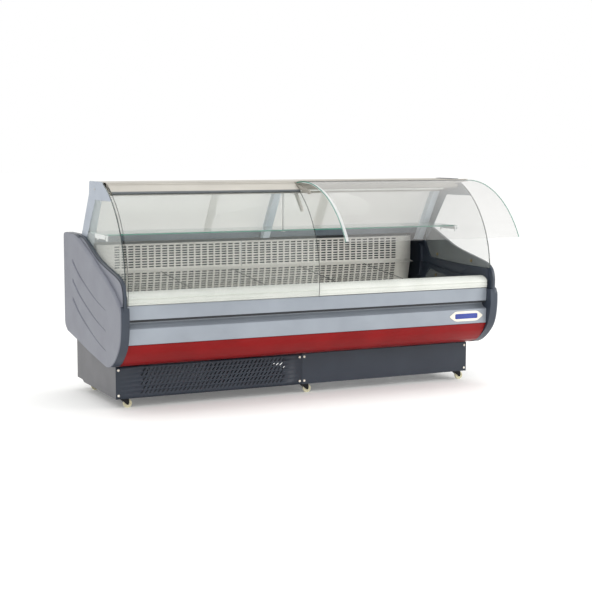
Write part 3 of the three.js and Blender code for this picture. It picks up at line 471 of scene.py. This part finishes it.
plateau = worktopZ + 18
bumperBottom = bumperLow.z * 1000
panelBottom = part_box("front_panel")[0].z * 1000
underside = np.vstack([
    smoothLine([
        (noseY + 4, bumperBottom - 30), (noseY + 3, bumperBottom - 90), (noseY + 9, panelBottom + 69),
        (noseY + 22, panelBottom + 19), (noseY + 48, panelBottom - 28), (noseY + 95, panelBottom - 75),
        (noseY + 148, 272), (noseY + 205, 249), (noseY + 265, 242),
    ], 60),
    [(along(0.396), 262), (along(0.532), 281), (along(0.755), 320)],
    smoothLine([(rearY - 55, 350), (rearY - 12, 378), (rearY, 405)], 10),
])
rearCorner = smoothLine([(rearY, plateau - 24), (rearY - 6, plateau - 8), (rearY - 22, plateau)], 8)


def down(part):
    # a share of the height, from the plateau to the bumper's lower edge
    return plateau - part * (plateau - bumperBottom)


creaseLine = smoothLine([
    (rearY - 200, plateau), (rearY - 215, down(0.003)), (along(0.734), down(0.048)),
    (along(0.611), down(0.179)), (along(0.495), down(0.304)), (along(0.37), down(0.464)),
    (along(0.2415), down(0.616)), (noseY + 113, down(0.818)), (noseY + 12, bumperBottom - 6),
], 80)
topLine = smoothLine([
    (rearY - 200, plateau), (along(0.667), down(0.03)), (along(0.518), down(0.214)),
    (along(0.413), down(0.333)), (along(0.298), down(0.417)), (noseY + 144, down(0.515)),
    (noseY + 69, down(0.577)), (noseY + 29, down(0.655)), (noseY + 10, down(0.762)),
    (noseY + 5, down(0.893)), (noseY + 8, bumperBottom - 8),
], 90)


def grooveField(y, z):
    # three tapered troughs: a centre line z(y), a half width and a depth that fall off forwards
    height = plateau - 242
    total = np.zeros_like(y)
    form = endForm
    for start in form["grooveStarts"]:
        course = [
            (rearY - back, plateau - (start + drop) * height) for back, drop in form["grooveCourse"]
        ]
        line = smoothLine(course, 40)[::-1]
        middle = np.interp(y, line[:, 0], line[:, 1])
        share = np.clip((y - line[0, 0]) / (line[-1, 0] - line[0, 0]), 0, 1)
        width = form["grooveHalf"] * (0.22 + 0.78 * share)
        depth = form["grooveDepth"] * (0.35 + 0.65 * share**2)
        across = (z - middle) / width
        ends = np.clip((line[-1, 0] + 9 - y) / 14, 0, 1) * np.clip((y - line[0, 0]) / 40, 0, 1)
        dimple = 4.5 * np.exp(-(((y - line[-1, 0] + 8) / 16) ** 2))
        total += (depth + dimple) * np.clip(1 - across**2, 0, 1) ** 1.2 * np.sqrt(ends)
    return total


def makeCoverFace(side):
    # rings from the middle to the outline; the outermost turn over a quarter ellipse,
    # which is wider and deeper along the crease
    form = endForm
    plain = np.vstack([underside, rearCorner])
    count = form["points"]
    flagged = np.vstack([
        np.column_stack([plain, np.zeros(len(plain))]),
        np.column_stack([creaseLine, np.ones(len(creaseLine))]),
    ])
    ring = evenSteps(flagged, count, closed=True)
    crease = np.convolve(np.tile(ring[:, 2], 3), np.ones(7) / 7, "same")[count : 2 * count]
    edge = inset(ring[:, :2], 1.5)
    middle = np.array(form["middle"])
    away = edge - middle
    away = away / np.linalg.norm(away, axis=1, keepdims=True)
    width = form["rollWidth"] + (form["creaseWidth"] - form["rollWidth"]) * crease
    depth = form["rollWidth"] + (form["creaseDepth"] - form["rollWidth"]) * crease
    flat = edge - away * width[:, None]
    first = 0.004  # the smallest ring's share of the full size
    share = np.linspace(first, 1, form["rings"])[:, None, None]
    inner = middle + share * (flat - middle)
    turn = np.linspace(0, math.pi / 2, 8)[1:, None]
    rolled = flat + away * (width * np.sin(turn))[:, :, None]
    wall = np.stack([edge, edge - away * form["wallInset"], middle + first * (edge - middle)])
    bottom = np.broadcast_to(halfLength - 6 - 12 * crease, (3, count))
    x = np.vstack([
        halfLength - grooveField(inner[..., 0], inner[..., 1]),
        halfLength - depth * (1 - np.cos(turn)),
        bottom,
    ])
    x[-2:] = halfLength - form["wallDepth"]
    yz = np.concatenate([inner, rolled, wall])
    row = toRow(yz.reshape(-1, 2))
    points = np.column_stack([side * x.reshape(-1) / 1000, row])
    name = "left" if side < 0 else "right"
    return makePiece(
        "end_cover_face_" + name, points, tubeFaces(count, len(yz)), "case", greyAbs,
        replaces=("end_cover_" + name,), slot="end_cover", sharp=50,
    )


def makeCoverRecess(side):
    # a flat sheet behind the face: the cover's full outline moved inwards by the rim's width
    outline = evenSteps(np.vstack([underside, rearCorner, topLine]), 260, closed=True)
    outline = inset(outline, endForm["rimWidth"])
    face = halfLength - endForm["recessDepth"]
    x = sorted([side * face, side * (face - endForm["recessSheet"])])
    name = "end_recess_" + ("left" if side < 0 else "right")
    return sweep(name, outline, *x, "case", greyAbs, slot="end_cover", bevel=0.001)


for side in (-1, 1):
    makeCoverFace(side)
    makeCoverRecess(side)
for name in ("end_frame_left", "end_frame_right"):
    refine(name, slateAbs, bevel=0.0015, slot="end_frame")
print("ends made")


# curved front glass on its hinge line

glassForm = {
    "radius": 588,  # to the inner face
    "thickness": 6,
    "steps": 110,
    "highlightWidth": 22,
    "edgeWidth": 1.2,
    "shadeStripHeight": 13,
}
hingeJoint = next(j for j in frame["joints"] if j["name"] == "front_glass_left_hinge")
openJoint = next(j for j in frame["joints"] if j["name"] == "front_glass_right_hinge")
openAngle = -openJoint["range_deg"][0]
hinge = np.array([(hingeJoint["pos_m"][1] - depthZero) * 1000, hingeJoint["pos_m"][2] * 1000])
lip = np.array([(bumperLow.y - depthZero) * 1000 - 6, bumperBottom - 1])


def arcCentre(a, b, radius):
    # the middle of the chord, moved square to it by what is left of the radius
    chord = b - a
    length = np.linalg.norm(chord)
    rise = math.sqrt(radius**2 - (length / 2) ** 2)
    return (a + b) / 2 + np.array([-chord[1], chord[0]]) / length * rise


midRadius = glassForm["radius"] + glassForm["thickness"] / 2
glassCentre = arcCentre(hinge, lip, midRadius)


def angleAt(point):
    # the point's direction from the arc's centre, between 0 and a full turn
    return math.atan2(point[1] - glassCentre[1], point[0] - glassCentre[0]) % (2 * math.pi)


glassFrom = angleAt(hinge) + 26 / midRadius
glassTo = angleAt(lip)


def arcLine(radius, start, end, steps):
    # equal turns from start to end, each at the radius from the glass's centre
    angle = np.linspace(start, end, steps)
    return glassCentre + radius * np.column_stack([np.cos(angle), np.sin(angle)])


def opened(points, degrees):
    # the same outline swung up about the hinge line
    turn = math.radians(-degrees)
    c, s = math.cos(turn), math.sin(turn)
    return (np.asarray(points) - hinge) @ np.array([[c, s], [-s, c]]) + hinge


def makeFrontGlass(place, degrees, material):
    # an arc out and the same arc back at the glass's thickness, swung open and carried along X
    low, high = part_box("front_glass_" + place)
    inside = glassForm["radius"] + 0.4
    outside = glassForm["radius"] + glassForm["thickness"] - 0.5
    steps = glassForm["steps"]
    outline = np.vstack([
        arcLine(inside, glassFrom, glassTo, steps),
        arcLine(outside, glassTo, glassFrom, steps),
    ])
    body = "front_glass_" + place
    sweep(
        "curved_pane_" + place, opened(outline, degrees), low.x * 1000, high.x * 1000, body, material,
        replaces=("front_glass_" + place,), slot="clear_glass", bevel=0.0006,
    )
    # polished edges: one thin strip down each side, with a darker copy of the edge glass on the closed
    # pane as painted shade
    strip = np.vstack([
        arcLine(inside - 0.1, glassFrom, glassTo, 60),
        arcLine(outside + 0.1, glassTo, glassFrom, 60),
    ])
    left, right, wide = low.x * 1000, high.x * 1000, glassForm["edgeWidth"]
    edgeLook = edgeGlass if degrees else shadedGlassEdge
    for k, (a, b) in enumerate(((left, left + wide), (right - wide, right))):
        name = f"pane_edge_{place}_{k + 1}"
        sweep(name, opened(strip, degrees), a, b, body, edgeLook, slot="clear_glass")


makeFrontGlass("left", 0, clearGlass)
makeFrontGlass("right", openAngle, raisedGlassPaintedGrey)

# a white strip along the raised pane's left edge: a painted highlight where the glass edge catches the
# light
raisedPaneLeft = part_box("front_glass_right")[0].x * 1000
highlightEnd = glassTo - 0.012
edgeHighlight = np.vstack([
    arcLine(glassForm["radius"] - 3.5, glassFrom + 0.1, highlightEnd, 60),
    arcLine(glassForm["radius"] - 0.1, highlightEnd, glassFrom + 0.1, 60),
])
sweep(
    "glass_edge_highlight", opened(edgeHighlight, openAngle), raisedPaneLeft + 1, raisedPaneLeft + 1 + glassForm["highlightWidth"],
    "front_glass_right", whitePvcAndHighlight, slot="bumper", bevel=0.001,
)
clampMesh = frame["nodes"]["glass_clamp_left"].data
clampPoints = np.zeros(3 * len(clampMesh.vertices))
clampMesh.vertices.foreach_get("co", clampPoints)
clampPoints = (clampPoints.reshape(-1, 3)[:, 1:] - (depthZero, 0)) * 1000
fromCentre = clampPoints - glassCentre
clampRadius = np.linalg.norm(fromCentre, axis=1)
clampAngle = np.arctan2(fromCentre[:, 1], fromCentre[:, 0]) % (2 * math.pi)
outside = clampRadius > glassForm["radius"] + glassForm["thickness"] + 0.5
clampEnd = clampAngle[outside].max()
# a grey strip along the clamp's lower edge on the closed pane: painted shade in the gap under the clamp
shadeStripTop, shadeStripFoot = clampEnd - glassForm["shadeStripHeight"] / 600, clampEnd + 2 / 600
clampShadeStrip = np.vstack([
    arcLine(clampRadius[outside].max() + 0.5, shadeStripTop, shadeStripFoot, 10),
    arcLine(glassForm["radius"] + glassForm["thickness"] + 0.2, shadeStripFoot, shadeStripTop, 10),
])
for place in ("left", "right"):
    refine("glass_clamp_" + place, champagne, bevel=0.0012, slot="aluminium")
low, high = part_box("glass_clamp_left")
sweep(
    "clamp_shade_strip_left", clampShadeStrip, low.x * 1000 + 0.5, high.x * 1000 - 0.5, "front_glass_left",
    clampShadeGrey, slot="black_plastic",
)
print("front glass made")


# end glass with its printed band

shelfBack = rearY - 168
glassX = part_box("end_glass_right")[0].x * 1000
endRadius = glassForm["radius"] - 2.3
footAngle = math.pi + math.asin((glassCentre[1] - bumperBottom - 118) / endRadius)
headAngle = angleAt(hinge) - 0.03
bandLow = 1146  # lower edge of the printed band
endFront = arcLine(endRadius, footAngle, headAngle, 80)
endHead = [
    (canopyRear - 288, caseTop), (canopyRear - 72, caseTop), (canopyRear - 62, caseTop - 1),
    (canopyRear - 54, caseTop - 4), (canopyRear - 51, caseTop - 9), (canopyRear - 43, caseTop - 73),
]
endFoot = [
    (shelfBack - 76, worktopZ + 11), (shelfBack - 128, worktopZ - 96),
    (shelfBack - 186, bumperBottom + 136), (shelfBack - 395, bumperBottom + 123.5),
    (noseY + 244, bumperBottom + 117),
]
bandAngle = math.pi - math.asin((bandLow - glassCentre[1]) / endRadius)
bandShape = np.vstack([
    arcLine(endRadius - 0.8, bandAngle, headAngle, 24),
    np.array(endHead) + (0, -0.5),
    [(152, 927), (112, 852), (47, 920), (-123, bandLow - 2)],
])
# half outlines of the screw heads, as radius and height: a rim, a domed crown and a socket
screwHeads = {
    "glass": [(0, 0), (9, 0), (9, 1.6), (7.4, 3.2), (3.2, 3.6), (3, 2.4), (0, 2.4)],
    "band": [(0, 0), (8, 0), (8, 1.4), (6.6, 2.8), (2.4, 3), (2.2, 1.8), (0, 1.8)],
    "base": [(0, 0), (7, 0), (7, 1.2), (5.4, 2.6), (2, 2.9), (1.8, 1.6), (0, 1.6)],
}
for side, place in ((-1, "left"), (1, "right")):
    x = sorted([side * glassX, side * (glassX + 6)])
    sweep(
        "end_pane_" + place, np.vstack([endFront, endHead, endFoot]), *x, "case", clearGlass,
        replaces=("end_glass_" + place,), slot="clear_glass", bevel=0.0005,
    )
    # the end pane's front edge in the darker edge glass: painted shade
    rim = np.vstack([endFront, inset(endFront, -2.6, closed=False)[::-1]]) + (0.3, 0)
    sweep("end_pane_edge_" + place, rim, *x, "case", shadedGlassEdge, slot="clear_glass")
    xb = sorted([side * (glassX + 6.1), side * (glassX + 6.5)])
    sweep("printed_band_" + place, bandShape, *xb, "case", printBand, slot="end_cover")
    for k, (y, z) in enumerate(((-30, 758), (-423, 747))):
        spot = (side * (glassX - 0.5) / 1000, *toRow([(y, z)])[0])
        lathe(
            f"glass_bolt_{place}_{k + 1}", screwHeads["glass"], spot, (-side, 0, 0), "case", brassMetal,
            steps=28, slot="aluminium",
        )
    spot = (side * (glassX + 6.5) / 1000, *toRow([(-117, 1203)])[0])
    lathe(
        "band_screw_" + place, screwHeads["band"], spot, (side, 0, 0), "case", stainless,
        steps=28, slot="aluminium",
    )
print("end glass made")


# long panels, bumper and badge

longForm = {"sheet": 3, "bumperRound": 3.5, "panelRound": 4}
skin = [v * 1000 for v in (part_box("front_panel")[0].x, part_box("front_panel")[1].x)]


def softLine(points, radius):
    # an open line with its inner corners rounded
    return np.vstack([points[:1], softCorners(points, radius)[5:-5], points[-1:]])


def sheetProfile(points, radius, thickness):
    # the line and the same line moved to its left
    line = softLine(points, radius)
    return np.vstack([line, inset(line, thickness, closed=False)[::-1]])


panelY = (bumperLow.y - depthZero) * 1000 + 6  # front plane of the panels
panelPath = [
    (panelY, bumperBottom - 3), (panelY, bumperBottom - 79), (panelY + 43, bumperBottom - 87),
    (panelY + 44, bumperBottom - 104), (panelY + 28, bumperBottom - 119),
    (panelY - 1.6, panelBottom + 86), (panelY, panelBottom + 36), (panelY, panelBottom + 0.4),
]
skirtPath = [
    (panelY + 1, panelBottom - 3), (panelY + 15, panelBottom - 25), (panelY + 35, panelBottom - 57),
    (panelY + 71, panelBottom - 94), (panelY + 112, panelBottom - 120),
    (panelY + 204.6, panelBottom - 143.6),
]
sweep(
    "front_skin", sheetProfile(panelPath, longForm["panelRound"], longForm["sheet"]), *skin, "case",
    silverCoat, replaces=("front_panel",), slot="front_paint", sharp=60,
)
# the joint above the cove: a black strip in the gap, which also paints the shade under the upper face
jointAndShadeShape = [
    (panelY + 30, bumperBottom - 85), (panelY + 30, bumperBottom - 91),
    (panelY + 4, bumperBottom - 91), (panelY + 4, bumperBottom - 79.6),
]
sweep("panel_joint_and_shade", jointAndShadeShape, skin[0] + 1, skin[1] - 1, "case", blackGasketAndShade, slot="black_plastic")
skirtLine = smoothLine(skirtPath, 60)
skirtBack = inset(skirtLine, longForm["sheet"], closed=False)[::-1]
sweep(
    "lower_skin", np.vstack([skirtLine, skirtBack]), *skin, "case", redCoat,
    replaces=("lower_front_panel",), slot="red_paint", sharp=60,
)
bumperShape = [
    (-545, 649), (-545, 669), (-568, 668.5), (-592, 662), (-608, 652), (-616, 640), (-617, 634),
    (-612, 630.5), (-616.5, 627), (-616.5, 613), (-612.5, 610), (-616, 606.5), (-615, 602), (-612, 600),
    (-603, 600), (-603, 640),
]
bumperShape = np.array(bumperShape) + (panelY + 611, bumperBottom - 600)
sweep(
    "bumper_profile", softCorners(bumperShape, longForm["bumperRound"]), *skin, "case", ivoryPvc,
    replaces=("bumper_rail",), slot="bumper", sharp=60,
)


def plateAcross(name, outline, y0, y1, body, material, **rest):
    # an outline in X and Z carried along Y; millimetres
    p = np.asarray(outline, float) / 1000
    rings = [
        np.column_stack([p[:, 0], np.full(len(p), y / 1000 + depthZero), p[:, 1]]) for y in (y0, y1)
    ]
    return makePiece(name, np.vstack(rings), tubeFaces(len(p)), body, material, **rest)


def roundedRect(x0, x1, z0, z1, radius):
    # four corners, each softened by the radius
    return softCorners([(x0, z0), (x1, z0), (x1, z1), (x0, z1)], radius, steps=8)


badgeForm = {"x": (873, 1115), "z": (402, 463), "proud": 1.2, "taper": 45}
creamPlate = moulded("cream enamelled badge plate", "#e6e1d2", "#efebdf", 0.25)
bluePlate = moulded("blue enamelled badge field", "#31418f", "#3d4fa0", 0.25)
badgeX, badgeZ, taper = badgeForm["x"], badgeForm["z"], badgeForm["taper"]
badgeShape = softCorners([
    (badgeX[0], sum(badgeZ) / 2), (badgeX[0] + taper, badgeZ[0]), (badgeX[1] - taper, badgeZ[0]),
    (badgeX[1], sum(badgeZ) / 2), (badgeX[1] - taper, badgeZ[1]), (badgeX[0] + taper, badgeZ[1]),
], 14)
plateAcross(
    "badge_plate", badgeShape, panelY - 1.5 - badgeForm["proud"], panelY + 1, "case", creamPlate,
    slot="bumper", bevel=0.0005,
)
plateAcross(
    "badge_field", roundedRect(badgeX[0] + 42, badgeX[1] - 42, badgeZ[0] + 15, badgeZ[1] - 15, 9),
    panelY - 1.9 - badgeForm["proud"], panelY, "case", bluePlate, slot="front_paint", bevel=0.0003,
)
print("long panels made")


# base, grille and casters

baseForm = {
    "pitch": 25,
    "slotWidth": 8,
    "slotTall": 17,
    "rows": 6,
    "windowLeft": -996,
    "slots": 35,
    "windowLow": 81,
    "sheet": 0.0029,
}
grilleLow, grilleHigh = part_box("base_front_grille")
grilleY = (grilleLow.y - depthZero) * 1000
low, high = grilleLow.z * 1000, grilleHigh.z * 1000
starts = baseForm["windowLeft"] + baseForm["pitch"] * np.arange(baseForm["slots"])
slotColumns = np.stack([starts, starts + baseForm["slotWidth"]], axis=1).reshape(-1)
columns = np.concatenate([[grilleLow.x * 1000 + 0.2], slotColumns, [grilleHigh.x * 1000 - 0.2]])
rowStarts = baseForm["windowLow"] + baseForm["pitch"] * np.arange(baseForm["rows"])
rowHeights = np.stack([rowStarts, rowStarts + baseForm["slotTall"]], axis=1).reshape(-1)
brick = baseForm["pitch"] / 2 * (np.arange(baseForm["rows"]) % 2)
leans = np.stack([brick, brick + baseForm["slotTall"]], axis=1).reshape(-1)
grillePath = [(grilleY, z) for z in (low + 0.2, *rowHeights, high - 0.2)]
plateWithSlots(
    "base_grille", columns, grillePath, 1 + 2 * np.arange(baseForm["rows"]),
    np.concatenate([[0], leans, [0]]), baseForm["sheet"], "case", baseCoat,
    replaces=("base_front_grille",), slot="base_paint",
)
for k, (x, z) in enumerate((x, z) for x in (-1121, -15, 15, 1121) for z in (78, 220)):
    spot = (x / 1000, *toRow([(grilleY, z)])[0])
    lathe(
        f"base_screw_{k + 1}", screwHeads["base"], spot, (0, -1, 0), "case", creamPlate,
        steps=24, slot="bumper",
    )

wheelForm = {"hubRadius": 7.5, "dish": 2.5}
for row in ("front", "rear"):
    for column in ("left", "middle", "right"):
        name = f"{row}_{column}"
        low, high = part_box("caster_wheel_" + name)
        r = (high.z - low.z) * 500 - 0.05
        h = (high.y - low.y) * 500 - 0.05
        hub, dish = wheelForm["hubRadius"], wheelForm["dish"]
        half = [
            (0, h), (hub - 1, h), (hub, h - dish), (r - 8, h - dish), (r - 6.5, h - 0.4),
            (r - 3, h - 0.4), (r - 0.8, h - 1.6), (r, h - 4),
        ]
        profile = half + [(a, -b) for a, b in half[::-1]]
        lathe(
            "tyre_" + name, profile, tuple((low + high) / 2), (0, 1, 0), "wheel_" + name, creamNylon,
            steps=48, replaces=("caster_wheel_" + name,), slot="wheel_nylon",
        )
print("base made")


# louvred rear panel

louvreForm = {
    "pitch": 42.5,
    "slotLong": 31,
    "slotTall": 8,
    "reach": 951,
    "rows": (730, 745, 760, 776, 793, 807, 821, 836, 852),
    "sheet": 0.0016,
}
louvreLow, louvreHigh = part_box("louvre_panel")
backY = shelfBack - 66
firstSlot = -louvreForm["reach"]
count = int(2 * louvreForm["reach"] / louvreForm["pitch"]) + 1
starts = firstSlot + louvreForm["pitch"] * np.arange(count)
slotColumns = np.stack([starts, starts + louvreForm["slotLong"]], axis=1).reshape(-1)
columns = np.concatenate([[louvreLow.x * 1000 + 0.2], slotColumns, [louvreHigh.x * 1000 - 0.2]])
tall = louvreForm["slotTall"]
rowHeights = np.concatenate([[z - tall / 2, z + tall / 2] for z in louvreForm["rows"]])
louvrePath = [(backY - 65.6, 698.7), (backY, 712)] + [(backY, z) for z in rowHeights]
louvrePath += [(backY, 867.8), (backY + 15.8, 867.8)]
plateWithSlots(
    "louvre_sheet", columns, louvrePath, 2 + 2 * np.arange(len(louvreForm["rows"])),
    np.zeros(len(louvrePath)), louvreForm["sheet"], "case", louvreSteel,
    replaces=("louvre_panel",), slot="stainless",
)
plateAcross(
    "louvre_joint", [(-144, 714), (-137, 714), (-137, 866), (-144, 866)], backY - 1.2, backY - 0.1,
    "case", stainless, slot="stainless", bevel=0.0003,
)
# a matt black sheet behind the slots: painted shade for the dark duct seen through them
sweep(
    "duct_shade_sheet", [(backY + 5, 716), (backY + 5, 864), (backY + 6, 864), (backY + 6, 716)],
    louvreLow.x * 1000 + 4, louvreHigh.x * 1000 - 4, "case", blackGasketAndShade, slot="black_plastic",
)
deckFront, deckBack = np.array((-503, 639.4)), np.array((backY - 55, 704.5))
for k, x in enumerate((-683, -228, 228, 683)):
    joint = [deckFront, deckBack, deckBack + (0, 0.4), deckFront + (0, 0.4)]
    sweep(f"deck_joint_{k + 1}", joint, x - 1.6, x + 1.6, "case", blackGasketAndShade, slot="black_plastic")
print("louvres made")


# canopy trim, shelf edge and small parts

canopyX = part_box("canopy")[1].x * 1000
capShape = softCorners([
    (-48, 1230), (-48, caseTop - 0.6), (-250, caseTop - 0.6), (-273, caseTop - 7), (-277, 1214),
    (-262, 1216), (-60, 1228),
], (8, 8, 12, 10, 2, 6, 6))
sweep(
    "canopy_end_cap", capShape, canopyX - 24, glassX - 0.9, "case", slateAbs,
    slot="end_frame", bevel=0.001,
)
shelfLow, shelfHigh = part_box("shelf_glass")
sx = shelfHigh.x * 1000 - 18
shelfFrontY = (shelfLow.y - depthZero) * 1000
edgeLine = [(-sx, shelfFrontY), (sx, shelfFrontY), (sx, shelfFrontY + 1.6), (-sx, shelfFrontY + 1.6)]
p = np.array(edgeLine) / 1000 + (0, depthZero)
heights = (shelfLow.z + 0.0002, shelfHigh.z - 0.0002)
ringPoints = np.vstack([np.column_stack([p, np.full(4, z)]) for z in heights])
makePiece("shelf_front_edge", ringPoints, tubeFaces(4), "case", edgeGlass, slot="shelf_glass")

# pieces whose own shape is right: edges broken, and the material of the real one

refined = {
    "base_front_panel": (baseCoat, 0.0008, "base_paint"),
    "base_shell": (baseShellLitCoat, 0.0008, "side_paint"),
    "base_frame": (frameCoat, 0.0015, "frame_paint"),
    "tub": (tubCoat, 0.0015, "tub_steel"),
    "canopy": (champagne, 0.0012, "canopy_metal"),
    "canopy_lamp": (diffuser, 0.001, "lamp"),
    "door_sill": (sillAluminium, 0.0008, "sill_metal"),
    "post_left": (satinAluminium, 0.0018, "aluminium"),
    "post_middle": (satinAluminium, 0.0018, "aluminium"),
    "post_right": (satinAluminium, 0.0018, "aluminium"),
    "door_left": (doorAcrylic, 0.0008, "door_plastic"),
    "door_middle": (doorAcrylic, 0.0008, "door_plastic"),
    "door_right": (doorAcrylic, 0.0008, "door_plastic"),
    "worktop": (stainless, 0.0015, "stainless"),
    "shelf_glass": (shelfGlass, 0.0006, "shelf_glass"),
    "shelf_hanger": (stainless, 0.0003, "aluminium"),
    "shelf_support_left": (whitePvcAndHighlight, 0.0006, "aluminium"),
    "shelf_support_right": (whitePvcAndHighlight, 0.0006, "aluminium"),
    "evaporator": (finPack, 0.0008, "coil"),
    "evaporator_fan_tray": (blackAbs, 0.0008, "black_plastic"),
    "evaporator_fan_left": (blackAbs, 0.0004, "black_plastic"),
    "evaporator_fan_right": (blackAbs, 0.0004, "black_plastic"),
    "condenser": (greyCoat, 0.0008, "condenser_metal"),
    "condenser_fan": (yellowCoat, 0.0004, "fan_yellow"),
    "compressor": (enamel, 0.0012, "compressor_paint"),
    "control_panel": (blackAbs, 0.0008, "black_plastic"),
    "power_rocker": (rockerRed, 0.0006, "rocker_red"),
    "cord_gland": (blackAbs, 0.0005, "black_plastic"),
}
refined.update({f"deck_plate_{k}": (brightSteel, 0.0006, "deck_steel") for k in range(1, 6)})
refined.update({
    f"caster_fork_{a}_{b}": (blackZinc, 0.0006, "caster_steel")
    for a in ("front", "rear")
    for b in ("left", "middle", "right")
})
for node, (material, bevel, slotName) in refined.items():
    refine(node, material, bevel=bevel, slot=slotName)
print("refined pieces:", len(refined))


# floor, light and camera

studio = {
    "cameraAt": (-3.36399, -7.02445, 1.44798),
    "yaw": 25.727,
    "pitch": 6.468,
    "roll": -0.147,
    "lens": 80.67,
    "world": 1.0,
}


def makeFloor():
    # a plain sheet far wider than the counter
    reach = 60.0
    mesh = bpy.data.meshes.new("floor")
    corners = [(-reach, -reach, 0), (reach, -reach, 0), (reach, reach, 0), (-reach, reach, 0)]
    mesh.from_pydata(corners, [], [(0, 1, 2, 3)])
    floor = bpy.data.objects.new("floor", mesh)
    bpy.context.scene.collection.objects.link(floor)
    material, tree, shader, coords = newMaterial("pale studio floor", Roughness=1.0)
    shader.inputs["Specular IOR Level"].default_value = 0
    shader.inputs["Emission Strength"].default_value = 0.14
    shader.inputs["Emission Color"].default_value = (1, 1, 1, 1)
    tree.links.new(tone(tree, coords, "#f2f2f0", "#f6f6f4", 900), shader.inputs["Base Color"])
    mesh.materials.append(material)
    floor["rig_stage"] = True


def addArea(name, place, target, size, power):
    # a soft rectangular lamp turned to face its target
    light = bpy.data.lights.new(name, "AREA")
    light.shape = "RECTANGLE"
    light.size, light.size_y = size
    light.energy = power
    lamp = bpy.data.objects.new(name, light)
    bpy.context.scene.collection.objects.link(lamp)
    lamp.location = place
    lamp.rotation_euler = (Vector(target) - Vector(place)).to_track_quat("-Z", "Y").to_euler()


def makeStudio():
    # even white surroundings, three soft lamps and the camera
    world = bpy.data.worlds.new("studio")
    bpy.context.scene.world = world
    world.use_nodes = True
    background = world.node_tree.nodes["Background"]
    background.inputs["Color"].default_value = (1, 1, 1, 1)
    background.inputs["Strength"].default_value = studio["world"]
    addArea("key", (4.6, -3.4, 2.4), (0.6, -0.4, 0.7), (2.6, 2.6), 95)
    addArea("fill", (-3.5, -4.5, 2.8), (0, 0, 0.8), (2.5, 2.5), 35)
    addArea("top", (0, 0.5, 4.2), (0, 0, 0.8), (4.0, 2.5), 45)
    cameraData = bpy.data.cameras.new("camera")
    cameraData.lens = studio["lens"]
    cameraData.sensor_width = 36
    camera = bpy.data.objects.new("camera", cameraData)
    bpy.context.scene.collection.objects.link(camera)
    camera.location = studio["cameraAt"]
    turn = (90 - studio["pitch"], studio["roll"], -studio["yaw"])
    camera.rotation_euler = [math.radians(a) for a in turn]
    bpy.context.scene.camera = camera
    bpy.context.scene.view_settings.view_transform = "Standard"


makeFloor()
makeStudio()
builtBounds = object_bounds()
for label, box in (("frame", cadBounds), ("built", builtBounds)):
    print(label, "bounds:", [tuple(round(v, 4) for v in c) for c in box])
